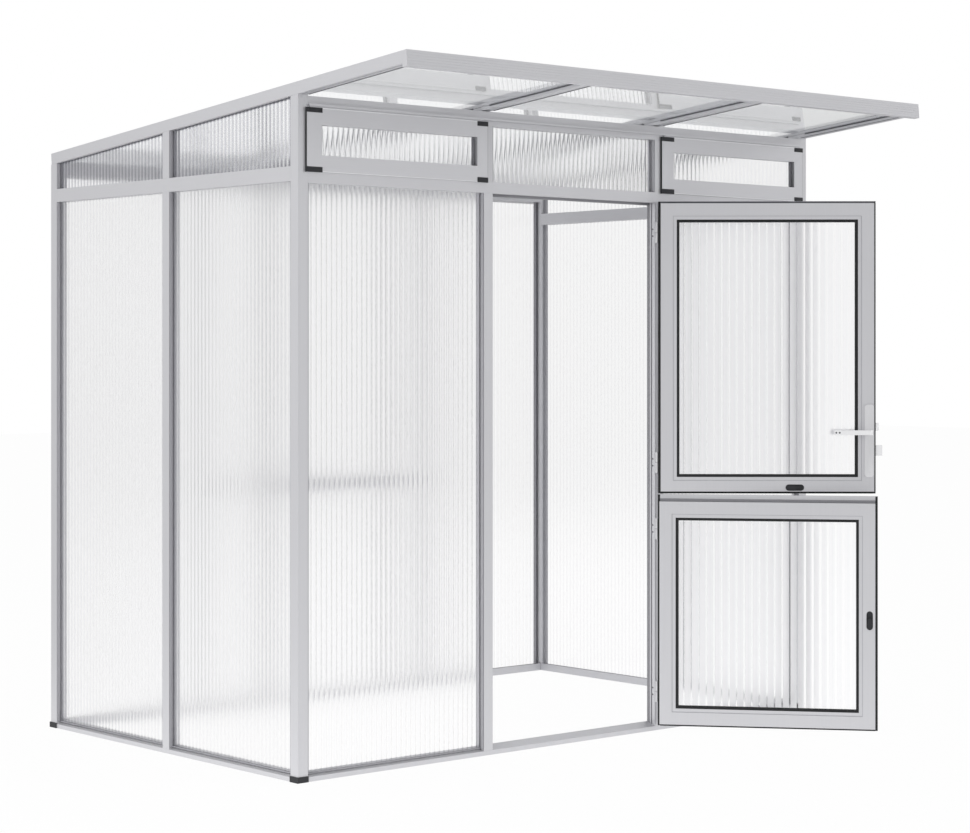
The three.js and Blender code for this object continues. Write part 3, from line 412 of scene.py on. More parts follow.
class PieceMaker:
    """Collects bmesh shapes, drawn in millimetres in one local place, and makes them one object."""

    def __init__(self, name: str, place: Matrix) -> None:
        """Starts an empty piece.

        Args:
            name: the object's name.
            place: turns local millimetres into metres in the CAD frame.
        """
        self.name = name
        self.place = place
        self.mesh = bmesh.new()

    def _round(self, geometry: Iterable, radius: float) -> None:
        """Bevels all edges of the given geometry.

        Args:
            geometry: bmesh elements just made.
            radius: bevel width; nothing is done where it is none.
        """
        edges = [e for e in geometry if isinstance(e, bmesh.types.BMEdge)]
        if radius > 0:
            bmesh.ops.bevel(
                self.mesh,
                geom=edges,
                offset=radius,
                offset_type="OFFSET",
                affect="EDGES",
                segments=2,
                profile=0.5,
                material=-1,
                clamp_overlap=True,
            )

    def _thicken(self, flat: list[Face], depth: float, before: set[Face]) -> list[Face]:
        """Extrudes flat faces along local y, and turns the faces of the new shape outwards.

        Args:
            flat: the faces to extrude.
            depth: how far.
            before: the faces that were there before the shape was begun.

        Returns:
            All faces of the new shape.
        """
        made = bmesh.ops.extrude_face_region(self.mesh, geom=flat)["geom"]
        verts = [v for v in made if isinstance(v, bmesh.types.BMVert)]
        bmesh.ops.translate(self.mesh, verts=verts, vec=(0.0, depth, 0.0))
        fresh = [f for f in self.mesh.faces if f not in before]
        bmesh.ops.recalc_face_normals(self.mesh, faces=fresh)
        return fresh

    def block(self, low: Point, high: Point, radius: float) -> None:
        """Adds a block between two corners, with rounded edges.

        Args:
            low: lowest corner.
            high: highest corner.
            radius: bevel width.
        """
        size = [h - l for l, h in zip(low, high)]
        middle = [(h + l) / 2 for l, h in zip(low, high)]
        matrix = Matrix.Translation(middle) @ Matrix.Diagonal((*size, 1.0))
        made = bmesh.ops.create_cube(self.mesh, size=1.0, matrix=matrix)
        self._round({e for v in made["verts"] for e in v.link_edges}, radius)

    def slanted(self, start: Pair, end: Pair, thick: float, near: float, far: float) -> None:
        """Adds a sloping strip whose upper edge runs between two points of local x and z.

        Args:
            start: one end of the upper edge, as (x, z).
            end: the other end.
            thick: height of the strip below that edge.
            near: y of one face.
            far: y of the other face.
        """
        run, rise = end[0] - start[0], end[1] - start[1]
        turn = Matrix.Rotation(-math.atan2(rise, run), 4, "Y")
        shift = Matrix.Translation((start[0], 0.0, start[1]))
        middle = Matrix.Translation((math.hypot(run, rise) / 2, (near + far) / 2, -thick / 2))
        size = Matrix.Diagonal((math.hypot(run, rise), far - near, thick, 1.0))
        bmesh.ops.create_cube(self.mesh, size=1.0, matrix=shift @ turn @ middle @ size)

    def ring(self, low: Point, high: Point, width: float, radius: float) -> None:
        """Adds an upright rectangular frame: outer corners, and its width towards the middle.

        Args:
            low: lowest outer corner; its y is the near face.
            high: highest outer corner; its y is the far face.
            width: width of each side.
            radius: bevel width.
        """
        before = set(self.mesh.faces)
        size = [h - l for l, h in zip(low, high)]
        middle = [(h + l) / 2 for l, h in zip(low, high)]
        matrix = (
            Matrix.Translation((middle[0], low[1], middle[2]))
            @ Matrix.Rotation(math.pi / 2, 4, "X")
            @ Matrix.Diagonal((size[0], size[2], 1.0, 1.0))
        )
        bmesh.ops.create_grid(self.mesh, x_segments=1, y_segments=1, size=0.5, matrix=matrix)
        inner = [f for f in self.mesh.faces if f not in before]
        bmesh.ops.inset_region(self.mesh, faces=inner, thickness=width, **INSET_RIM)
        bmesh.ops.delete(self.mesh, geom=inner, context="FACES")
        fresh = self._thicken([f for f in self.mesh.faces if f not in before], size[1], before)
        self._round({e for f in fresh for e in f.edges if e.calc_face_angle(0.0) > CORNER_ANGLE}, radius)

    def rod(self, start: Point, end: Point, radius: float, sides: int, edge: float) -> None:
        """Adds a round rod between two points.

        Args:
            start: centre of one end.
            end: centre of the other end.
            radius: the rod's radius.
            sides: number of sides.
            edge: bevel of the two end edges.
        """
        first, last = Vector(start), Vector(end)
        turn = (last - first).to_track_quat("Z", "Y").to_matrix().to_4x4()
        made = bmesh.ops.create_cone(
            self.mesh,
            cap_ends=True,
            cap_tris=False,
            segments=sides,
            radius1=radius,
            radius2=radius,
            depth=(last - first).length,
            matrix=Matrix.Translation((first + last) / 2) @ turn,
        )
        edges = {e for v in made["verts"] for e in v.link_edges}
        self._round({e for e in edges if any(len(f.verts) > 4 for f in e.link_faces)}, edge)

    def plate(self, outline: Sequence[Pair], near: float, far: float, radius: float) -> None:
        """Adds a flat plate whose outline is drawn in local x and z.

        Args:
            outline: corners as (x, z).
            near: y of one face.
            far: y of the other face.
            radius: bevel of the outline's edges.
        """
        before = set(self.mesh.faces)
        face = self.mesh.faces.new([self.mesh.verts.new((x, near, z)) for x, z in outline])
        fresh = self._thicken([face], far - near, before)
        self._round({e for f in fresh for e in f.edges if len(f.verts) > 4}, radius)

    def stadium(self, middle: Pair, long: float, wide: float, near: float, far: float, rim: float) -> None:
        """Adds a stadium-shaped cup: a rim that stands from near to far, with a thin floor at near.

        Args:
            middle: centre as (x, z).
            long: overall length; upright where it is negative.
            wide: overall width.
            near: y of the floor.
            far: y of the rim's top.
            rim: thickness of the rim.
        """
        radius, reach = wide / 2, (abs(long) - wide) / 2
        steps = [math.pi * (i / ARC_STEPS - 0.5) for i in range(ARC_STEPS + 1)]
        arc = [(reach + radius * math.cos(a), radius * math.sin(a)) for a in steps]
        arc += [(-x, -z) for x, z in arc]
        turned = [(z, x) if long < 0 else (x, z) for x, z in arc]
        corners = [self.mesh.verts.new((middle[0] + x, near, middle[1] + z)) for x, z in turned]
        before = set(self.mesh.faces)
        floor = self.mesh.faces.new(corners)
        rims = bmesh.ops.inset_region(self.mesh, faces=[floor], thickness=rim, **INSET_RIM)["faces"]
        self._thicken(rims, far - near, before)

    def done(self, finish: bpy.types.Material, body: str, slot: str) -> None:
        """Makes the object, gives it its finish and lets it ride on a body.

        Args:
            finish: the material.
            body: the CAD body it moves with.
            slot: the record's material slot; not used.
        """
        bmesh.ops.transform(self.mesh, matrix=self.place, verts=self.mesh.verts)
        bmesh.ops.recalc_face_normals(self.mesh, faces=self.mesh.faces)
        data = bpy.data.meshes.new(self.name)
        self.mesh.to_mesh(data)
        self.mesh.free()
        data.shade_smooth()
        data.set_sharp_from_angle(angle=SHARP_ANGLE)
        piece = bpy.data.objects.new(self.name, data)
        bpy.context.scene.collection.objects.link(piece)
        data.materials.append(finish)
        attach(piece, body)
        LOG.info("made %s, on %s", self.name, body)


# ---------------------------------------------------------------- places


class Panel(Enum):
    """The hung panels, each a body of the CAD: two door leaves, and two vents that hang from their top."""

    UPPER_LEAF = "upper_leaf"
    LOWER_LEAF = "lower_leaf"
    LEFT_VENT = "left_vent"
    RIGHT_VENT = "right_vent"

    @property
    def hinge(self) -> dict:
        """The panel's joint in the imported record."""
        return next(joint for joint in frame["joints"] if joint["name"] == f"{self.value}_hinge")

    @property
    def turn(self) -> float:
        """How far the panel stands open in the CAD frame, in radians."""
        return math.radians(-self.hinge["range_deg"][0])

    @property
    def place(self) -> Matrix:
        """Local place: origin on the hinge line, a leaf's at the ground and a vent's at its height."""
        x, y, z = self.hinge["pos_m"]
        shift = Matrix.Translation((x, y, z if self.value.endswith("vent") else 0.0))
        return shift @ Matrix.Rotation(self.turn, 4, "Z") @ Matrix.Scale(MM, 4)

    def piece(self, name: str) -> PieceMaker:
        """Starts a piece of the panel's trim, drawn in its place."""
        return PieceMaker(f"{self.value}_{name}", self.place)


class Wall(Enum):
    """The four walls: where a local frame with x along the wall and y inwards lies."""

    FRONT = ((0.0, -0.021), 0.0)
    RIGHT = ((1.28, 0.0), math.pi / 2)
    REAR = ((0.0, 1.569), math.pi)
    LEFT = ((-1.28, 0.0), -math.pi / 2)

    @property
    def place(self) -> Matrix:
        """Turns the wall's local millimetres into metres."""
        (x, y), turn = self.value
        return Matrix.Translation((x, y, 0.0)) @ Matrix.Rotation(turn, 4, "Z") @ Matrix.Scale(MM, 4)


# the roof's local place: origin at the top of the rear eaves, y to the front (negative) up the slope
ROOF_TILT = math.radians(5.19)
EAVES = Matrix.Translation((0.0, 1.569, 2.208))
ROOF_PLACE = EAVES @ Matrix.Rotation(-ROOF_TILT, 4, "X") @ Matrix.Scale(MM, 4)


# ---------------------------------------------------------------- the finishes in use


class SheetKind(Enum):
    """How the ribbed sheets of one place differ from the plain one. The darker dull stripes of the far sheets and
    of the upper left sheets are painted shade.
    """

    PLAIN = {}
    LEAF = {
        "dull": "FEFEFF",
        "rise": 0.86,
        "fall": 0.95,
        "dull_roughness": 0.42,
        "line_roughness": 0.08,
        "line_turn": math.pi / 2,
        "rib_mm": 7.0,
    }
    # painted shade: the far sheets' dull stripes are a little darker
    FAR = {"dull": "F9F9FA", "rib_mm": 0.9}
    FRONT_LEFT = {"dull_roughness": 0.12, "line_roughness": 0.2}
    LOWER_LEFT = {"dull_roughness": 0.18, "line_roughness": 0.24}
    # painted shade: the upper left sheets' dull stripes are much darker
    UPPER_LEFT = {"dull": "D8D8DD", "rise": 0.25, "fall": 0.6}

    @classmethod
    def of(cls, node: str) -> "SheetKind":
        """Chooses the kind of one sheet.

        Args:
            node: the sheet's CAD node.

        Returns:
            Its kind.
        """
        if "_leaf_" in node:
            return cls.LEAF
        if node.startswith(("right", "rear", "front_right")):
            return cls.FAR
        if node == "front_left_sheet":
            return cls.FRONT_LEFT
        if node.endswith("_lower_sheet"):
            return cls.LOWER_LEFT
        return cls.UPPER_LEFT if node.endswith("_upper_sheet") else cls.PLAIN


class Finishes:
    """Builds every material once and hands the CAD nodes theirs."""

    def __init__(self) -> None:
        """Builds the shared materials."""
        # extruded, etched and anodised: pale grey with faint streaks the way the profile was drawn
        self.upright = AnodisedAluminium("anodised aluminium, drawn upright", Grain.UP).build()
        self.crossways = AnodisedAluminium("anodised aluminium, drawn across", Grain.ALONG_X).build()
        self.lengthways = AnodisedAluminium("anodised aluminium, drawn lengthways", Grain.ALONG_Y).build()
        # a near-white, hardly metallic aluminium for painted highlights: it makes the vents' beads show as white
        # lines
        edge = AnodisedAluminium("near-white aluminium for painted highlights", Grain.ALONG_X, "F6F6F8", "F0F0F3", metallic=0.1)
        self.bright = edge.build()
        # plated and brushed: nearly white, with soft highlights; the cover and sleeves are a shade darker
        self.steel = SatinSteel("satin nickel-plated steel", "FAFAFB", "F2F2F4", metallic=0.45).build()
        self.bright_steel = SatinSteel("bright satin steel", "EAEAEC", "E0E0E3").build()
        # extruded rubber: dull, from black on the leaves to the mid grey of the glazing seals
        self.rubber = Moulded("black EPDM rubber", "101113", "1A1B1D").build()
        # also painted shade: the rear wall's inner gaskets
        self.dark_rubber = Moulded("dark grey EPDM seal", "4A4B4F", "58595E", roughness=0.64).build()
        # also painted shade: the stop seals on the jambs
        self.grey_rubber = Moulded("grey EPDM glazing rubber", "7C7C80", "8A8A8E").build()
        # soft elastomer: the thin pale lines beside the sheets and under the rafters
        self.soft_grey = Moulded("grey TPE gasket", "6C6C71", "7B7B80").build()
        # also painted shade: the wedges in the posts' reveals and the ring round the leaves' glazing beads
        self.joint = Moulded("pale TPE joint", "9C9CA1", "A8A8AD").build()
        # moulded in a fine-textured tool: near-black with a slight sheen
        self.nylon = Moulded("black moulded nylon", "1B1C1F", "292A2E", roughness=0.55, grain_mm=1.4).build()
        self.pane = ClearSheet("clear acrylic").build()

    def sheet_finish(self, node: str) -> bpy.types.Material:
        """Builds the ribbed finish of one sheet, in step with the ribs of its solid.

        Args:
            node: the sheet's CAD node.

        Returns:
            The material.
        """
        low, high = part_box(node)
        size = high - low
        kind = SheetKind.of(node)
        if kind is SheetKind.LEAF:
            angle = Panel(node.removesuffix("_sheet")).turn
            width = abs(size.x / math.cos(angle))
            rib_mm = LEAF_RIB_MM
        else:
            angle = 0.0 if size.x > size.y else math.pi / 2
            width = max(size.x, size.y)
            rib_mm = WALL_RIB_MM
        pitch = width / max(1, round(width / (rib_mm * MM)))
        name = f"ribbed polycarbonate, {node.replace('_', ' ')}"
        return RibbedPolycarbonate(name, angle, tuple((low + high) / 2), pitch, **kind.value).build()

    def dress_cad(self) -> None:
        """Gives every CAD node its procedural material."""
        slots = {row["node"]: row["material_slot"] for row in frame["record"]["subparts"]}
        shared = {STEEL_SLOT: self.steel, PLASTIC_SLOT: self.nylon, "clear_pane": self.pane}
        for node, piece in frame["nodes"].items():
            if slots[node] == "ribbed_sheet":
                finish = self.sheet_finish(node)
            elif slots[node] == ALUMINIUM_SLOT:
                finish = self.aluminium(node)
            else:
                finish = shared[slots[node]]
            piece.data.materials.clear()
            piece.data.materials.append(finish)
        LOG.info("dressed %d CAD nodes", len(frame["nodes"]))

    def aluminium(self, node: str) -> bpy.types.Material:
        """Chooses the aluminium whose streaks run along a node's longest side.

        Args:
            node: the CAD node.

        Returns:
            The material.
        """
        low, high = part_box(node)
        size = high - low
        if size.z >= max(size.x, size.y):
            return self.upright
        return self.crossways if size.x >= size.y else self.lengthways


# ---------------------------------------------------------------- door leaves


@dataclass
class LeafTrim:
    """Seals, glazing gaskets and small fittings of one door leaf.

    The flange is the leaf's outer plate, which laps the frame; the body behind it lies in the doorway.
    """

    leaf: Panel
    finishes: Finishes
    low: float  # the flange's lower edge
    top: float
    body_low: float
    body_top: float
    glass_low: float  # the opening that the sheet shows in
    glass_top: float
    catch: Pair  # middle of the thumb catch's recess, as (x, z)
    catch_long: float  # length of that recess; upright where it is negative
    edge: float = -3.0
    free: float = -831.0
    body_edge: float = -12.0
    body_free: float = -822.0
    glass_left: float = -761.0
    glass_right: float = -73.0
    flange_front: float = -6.0
    flange_back: float = 6.0
    seal_deep: float = 19.6
    seal_wide: float = 6.5
    seal_head: float = 3.4
    seal_lap: float = 0.4  # how far the lip above starts inside the seal
    head_edge: float = 0.8
    seal_gap: float = 10.0  # the lower leaf's top seal reaches this far towards the upper leaf
    lip: float = 0.9
    lip_short: float = 1.0
    foot_start: float = 0.4
    sheet_front: float = 4.0
    sheet_back: float = 10.0
    bead_face: float = 30.0
    # how far outside the glass the painted shade line round the bead lies
    bead_shade_line: float = 13.8
    shade_line_wide: float = 1.2
    shade_line_sunk: float = 0.2
    shade_line_proud: float = 1.0
    gasket: float = 10.2
    gasket_sunk: float = 2.0
    outer_gasket: float = 6.0
    outer_sunk: float = 1.5
    outer_edge: float = 1.0
    liner_wide: float = 23.6
    liner_rim: float = 1.6
    liner_floor: float = -0.95  # from the bead's face, as the rim's top is
    liner_top: float = 3.35

    def build(self) -> None:
        """Builds all trim of the leaf."""
        self._gaskets()
        self._top_seal()
        self._edge_seal()
        self._catch_liner()
        self._bead_shade_line()

    def _gaskets(self) -> None:
        """Black rubber on both faces of the sheet, all round."""
        left, right = self.glass_left + CORNER_GAP, self.glass_right - CORNER_GAP
        low, top = self.glass_low + CORNER_GAP, self.glass_top - CORNER_GAP
        inside = self.leaf.piece("inner_gasket")
        face = self.bead_face - self.gasket_sunk
        inside.ring((left, self.sheet_back + GAP, low), (right, face, top), self.gasket, SEAL_EDGE)
        inside.done(self.finishes.rubber, self.leaf.value, PLASTIC_SLOT)
        outside = self.leaf.piece("outer_gasket")
        face = self.flange_front + self.outer_sunk
        far = self.sheet_front - GAP
        outside.ring((left, face, low), (right, far, top), self.outer_gasket, self.outer_edge)
        outside.done(self.finishes.rubber, self.leaf.value, PLASTIC_SLOT)

    def _top_seal(self) -> None:
        """The seal along the leaf's top, on its body."""
        seal = self.leaf.piece("top_seal")
        near, foot = self.flange_back + GAP, self.body_top
        if self.leaf is Panel.UPPER_LEAF:
            head = (self.body_edge, self.flange_back + self.seal_deep, foot + self.seal_head)
            seal.block((self.body_free, near, foot + CORNER_GAP), head, self.head_edge)
            lip = (self.body_edge, self.flange_back + self.lip, self.top - self.lip_short)
            seal.block((self.body_free, near, foot + self.seal_head - self.seal_lap), lip, LIP_EDGE)
        else:
            head = (self.body_edge, self.flange_back + self.seal_wide, foot + self.seal_gap)
            seal.block((self.body_free, near, foot + INSET), head, SEAL_EDGE)
        tone = self.finishes.dark_rubber if self.leaf is Panel.UPPER_LEAF else self.finishes.grey_rubber
        seal.done(tone, self.leaf.value, PLASTIC_SLOT)

    def _edge_seal(self) -> None:
        """Black seals up both edges and along the foot, with thin lips on the flange."""
        seal = self.leaf.piece("edge_seal")
        near, lip = self.flange_back + GAP, self.flange_back + self.lip
        deep = self.flange_back + self.seal_deep
        low, top = self.low + self.lip_short, self.top - self.lip_short
        left, right = self.body_free - CORNER_GAP, self.body_edge + CORNER_GAP
        seal.block((self.free + INSET, near, low), (left, lip, top), LIP_EDGE)
        seal.block((self.edge - INSET, near, low), (right, lip, top), LIP_EDGE)
        for start, end in ((self.body_free - self.seal_wide, left), (right, self.body_edge + self.seal_wide)):
            seal.block((start, near, self.body_low), (end, deep, self.body_top), SEAL_EDGE)
        foot = (self.body_edge, self.flange_back + self.seal_wide, self.body_low - INSET)
        seal.block((self.body_free, near, self.low + self.foot_start), foot, SEAL_EDGE)
        seal.done(self.finishes.rubber, self.leaf.value, PLASTIC_SLOT)

    def _catch_liner(self) -> None:
        """The black lining of the thumb catch's recess."""
        liner = self.leaf.piece("catch_liner")
        floor, rim = self.bead_face + self.liner_floor, self.bead_face + self.liner_top
        liner.stadium(self.catch, self.catch_long, self.liner_wide, floor, rim, self.liner_rim)
        liner.done(self.finishes.nylon, self.leaf.value, PLASTIC_SLOT)

    def _bead_shade_line(self) -> None:
        """A grey ring round the glazing bead, where it meets the leaf's frame: painted shade, the shadow line of
        the bead's step.
        """
        joint = self.leaf.piece("bead_shade_line")
        reach = self.bead_shade_line
        low = (self.glass_left - reach, self.bead_face - self.shade_line_sunk, self.glass_low - reach)
        high = (self.glass_right + reach, self.bead_face + self.shade_line_proud, self.glass_top + reach)
        joint.ring(low, high, self.shade_line_wide, 0.0)
        # painted shade: the pale joint's grey stands in for the bead's shadow line
        joint.done(self.finishes.joint, self.leaf.value, ALUMINIUM_SLOT)


# ---------------------------------------------------------------- vents


@dataclass
class VentTrim:
    """Corner caps, edge seals, inner gasket and bright beads of one top-hung vent; the beads are painted
    highlights.
    """

    vent: Panel
    finishes: Finishes
    half: float = 403.0
    low: float = -222.6
    top: float = -6.0
    front: float = -4.0
    back: float = 4.0
    glass_left: float = -340.0
    glass_right: float = 354.0
    glass_low: float = -166.1
    glass_top: float = -63.5
    sheet_front: float = 6.0
    sheet_back: float = 12.0
    inner_back: float = 29.0
    cap_left: float = 65.0
    cap_right: float = 49.0
    cap_tall: float = 17.0
    cap_clear: float = 0.4  # the upper caps end here, so that they pass under the ledge when the vent opens
    skin: float = 1.4  # thickness of a cap
    cap_sunk: float = 0.2
    cap_edge: float = 0.7
    wrap_edge: float = 0.5
    off_end: float = 0.05  # air between the frame's end and what is fitted on it
    edge_seal: float = 1.2
    edge_round: float = 0.4
    gasket: float = 1.4
    gasket_sunk: Pair = (1.0, 4.0)  # behind the frame's faces, outside and inside
    # the bright beads below are painted highlights: near-white strips along the frame's edges
    drip: float = 1.6
    highlight_inset: float = 0.6
    highlight_proud: float = 0.9
    highlight_sunk: float = 0.5
    highlight_edge: float = 0.5

    def build(self) -> None:
        """Builds the trim of the vent."""
        self._caps()
        self._edge_seals()
        self._gasket()
        self._drip_bead()

    def _caps(self) -> None:
        """Black caps on the four corners, each with a wrap round the frame's end."""
        caps = self.vent.piece("corner_caps")
        face = self.front - self.skin
        rows = (
            (self.low - self.skin, self.low + self.cap_tall),
            (self.top - self.cap_tall, self.top - self.cap_clear),
        )
        for end, length in ((-1, self.cap_left), (1, self.cap_right)):
            outer, inner = end * (self.half + self.skin), end * (self.half - length)
            left, right = sorted((outer, inner))
            wrap_left, wrap_right = sorted((outer, end * (self.half + self.off_end)))
            for low, high in rows:
                caps.block((left, face, low), (right, self.front + self.cap_sunk, high), self.cap_edge)
                caps.block((wrap_left, face, low), (wrap_right, self.back, high), self.wrap_edge)
        caps.done(self.finishes.nylon, self.vent.value, PLASTIC_SLOT)

    def _edge_seals(self) -> None:
        """A black seal up each end, between the caps."""
        edges = self.vent.piece("edge_seals")
        for end in (-1, 1):
            left, right = sorted((end * (self.half + self.edge_seal), end * (self.half + self.off_end)))
            low = (left, self.front + INSET, self.low + self.cap_tall)
            edges.block(low, (right, self.back - GAP, self.top - self.cap_tall), self.edge_round)
        edges.done(self.finishes.rubber, self.vent.value, PLASTIC_SLOT)

    def _gasket(self) -> None:
        """Grey strips beside the sheet at both ends of its opening, outside and inside."""
        gasket = self.vent.piece("gasket")
        low, top = self.glass_low + CORNER_GAP, self.glass_top - CORNER_GAP
        sunk_out, sunk_in = self.gasket_sunk
        depths = (
            (self.front + sunk_out, self.sheet_front - GAP),
            (self.sheet_back + GAP, self.inner_back - sunk_in),
        )
        for x, end in ((self.glass_left, 1), (self.glass_right, -1)):
            left, right = sorted((x + end * GAP, x + end * self.gasket))
            for near, far in depths:
                gasket.block((left, near, low), (right, far, top), LIP_EDGE)
        gasket.done(self.finishes.grey_rubber, self.vent.value, PLASTIC_SLOT)

    def _drip_bead(self) -> None:
        """Bright beads along the lower and the upper edge of the face: painted highlights, near-white lines where
        the frame's edges catch the light.
        """
        bead = self.vent.piece("drip_bead")
        left, right = -self.half + self.cap_left, self.half - self.cap_right
        near, far = self.front - self.highlight_proud, self.front + self.highlight_sunk
        lowest, highest = self.low + self.highlight_inset, self.top - self.highlight_inset
        for low, high in ((lowest, lowest + self.drip), (highest - self.drip, highest)):
            bead.block((left, near, low), (right, far, high), self.highlight_edge)
        # painted highlight: the near-white finish stands in for light caught on the frame's edges
        bead.done(self.finishes.bright, self.vent.value, ALUMINIUM_SLOT)


# ---------------------------------------------------------------- walls


@dataclass
class WallSeals:
    """Grey wedges outside and gaskets inside every fixed wall sheet; the wedges' grey is partly painted shade,
    darkening the posts' reveals beside each sheet.
    """

    finishes: Finishes
    hold: float = 11.7  # how far a sheet reaches into its grooves
    sheet_front: float = 15.0
    sheet_back: float = 21.0
    wedge_thick: float = 1.2
    wedge_front: float = 0.8
    wedge_sunk: float = 0.3
    wedge_edge: float = 0.4
    gasket_wide: float = 3.5
    gasket_deep: float = 4.0
    gasket_edge: float = 1.0
    rafter_line: float = 3.0
    rafter_clear: float = 1.5  # upright seals end this far under the rafter
    on_sill: float = 60.0  # a sheet that starts lower than this stands on the sill
    foot_tall: float = 4.0
    foot_deep: float = 3.0
    foot_edge: float = 0.8
    rafter: float = 42.0
    front_face: float = -21.0
    depth: float = 1590.0
    eaves: float = 2208.0

    def build(self) -> None:
        """Builds the seals of all walls."""
        levels = [f"{end}_{level}_sheet" for end in ("front", "rear") for level in ("lower", "upper")]
        rows = {
            Wall.FRONT: ["front_left_sheet", "front_right_sheet", "over_door_sheet"],
            Wall.REAR: ["rear_left_sheet", "rear_middle_sheet", "rear_right_sheet"],
            Wall.LEFT: [f"left_{level}" for level in levels],
            Wall.RIGHT: [f"right_{level}" for level in levels],
        }
        for wall, nodes in rows.items():
            wedges = PieceMaker(f"{wall.name.lower()}_wall_wedges_and_shade", wall.place)
            gaskets = PieceMaker(f"{wall.name.lower()}_wall_gaskets", wall.place)
            for node in nodes:
                self._dress(wall, node, wedges, gaskets)
            # painted shade: the wedges' pale grey darkens the reveals, which stand in shade
            wedges.done(self.finishes.joint, ROOT, PLASTIC_SLOT)
            # painted shade: the rear wall's gaskets are dark grey, for the shaded band at the rear wall's ends
            tone = self.finishes.dark_rubber if wall is Wall.REAR else self.finishes.joint
            gaskets.done(tone, ROOT, PLASTIC_SLOT)

    def _dress(self, wall: Wall, node: str, wedges: PieceMaker, gaskets: PieceMaker) -> None:
        """Adds the seals of one sheet.

        Args:
            wall: the wall that holds the sheet.
            node: the sheet's CAD node.
            wedges: collects the outer wedges, whose grey is partly painted shade.
            gaskets: collects the inner gaskets.
        """
        back = wall.place.inverted()
        first, last = (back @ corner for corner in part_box(node))
        left, right = sorted((first.x, last.x))
        left, right = left + self.hold + CORNER_GAP, right - self.hold - CORNER_GAP
        low, high = first.z + self.hold + INSET, last.z - self.hold - INSET
        near, far = self.sheet_back + GAP, self.sheet_back + self.gasket_deep
        sloping = node.endswith("upper_sheet") and wall in (Wall.LEFT, Wall.RIGHT)
        for x, side in ((left, 1), (right, -1)):
            top = self._under_rafter(wall, x) - self.rafter_clear if sloping else high
            start, end = sorted((x, x + side * self.wedge_thick))
            face = self.sheet_front - self.wedge_sunk
            wedges.block((start, self.wedge_front, low), (end, face, top), self.wedge_edge)
            start, end = sorted((x, x + side * self.gasket_wide))
            gaskets.block((start, near, low), (end, far, top), self.gasket_edge)
        if sloping:
            start, end = ((x, self._under_rafter(wall, x) - CORNER_GAP) for x in (left, right))
            gaskets.slanted(start, end, self.rafter_line, near, far)
        elif low < self.on_sill:
            gaskets.block((left, near, low), (right, far, low + self.gasket_wide), self.gasket_edge)
            face, foot = self.sheet_front - self.foot_deep, low + self.foot_tall
            gaskets.block((left, face, low), (right, self.sheet_front - GAP, foot), self.foot_edge)

    def _under_rafter(self, wall: Wall, x: float) -> float:
        """Height of the gable rafter's underside above a place along a side wall.

        Args:
            wall: the left or the right wall.
            x: local place along it.

        Returns:
            The height in millimetres.
        """
        along = x if wall is Wall.RIGHT else -x
        rise = (self.front_face + self.depth - along) * math.tan(ROOF_TILT)
        return self.eaves + rise - self.rafter / math.cos(ROOF_TILT)


@dataclass
class RoofSeals:
    """Gaskets between the roof panes and the rafters, and the drip seals under the rafters."""

    finishes: Finishes
    rafters: tuple[float, ...] = (-1259.0, -433.0, 433.0, 1259.0)
    half: float = 21.0
    drop: float = 42.0
    pane_low: float = -30.0
    gasket: float = 3.2
    seal_edge: float = 0.8
    front_wall: float = 1596.0
    length: float = 2145.0
    canopy_short: float = 30.0  # the canopy's gaskets end this far before the front wall
    roof_short: float = 60.0  # those over the room keep this far from the front wall and the eaves
    drip_wide: float = 4.0
    drip_deep: float = 2.2
    drip_gap: float = 0.05
    drip_tip: float = 10.0
    drip_wall: float = 4.0

    def build(self) -> None:
        """Builds the seals of all rafters."""
        gaskets = PieceMaker("roof_pane_gaskets", ROOF_PLACE)
        drips = PieceMaker("rafter_drip_seals", ROOF_PLACE)
        runs = (
            (-self.length, -self.front_wall - self.canopy_short),
            (-self.front_wall + self.roof_short, -self.roof_short),
        )
        for x in self.rafters:
            for side in (-1, 1):
                face = x + side * self.half
                if abs(face) > abs(self.rafters[0]):
                    continue  # no pane outside the gable rafters
                left, right = sorted((face + side * GAP, face + side * self.gasket))
                for near, far in runs:
                    low = (left, near, self.pane_low - self.gasket)
                    gaskets.block(low, (right, far, self.pane_low - GAP), self.seal_edge)
            edge = x + self.half if x < self.rafters[-1] else x - self.half + self.drip_wide
            low = (edge - self.drip_wide, -self.length + self.drip_tip, -self.drop - self.drip_deep)
            high = (edge, -self.front_wall - self.drip_wall, -self.drop - self.drip_gap)
            drips.block(low, high, self.seal_edge)
        gaskets.done(self.finishes.dark_rubber, ROOT, PLASTIC_SLOT)
        drips.done(self.finishes.soft_grey, ROOT, PLASTIC_SLOT)


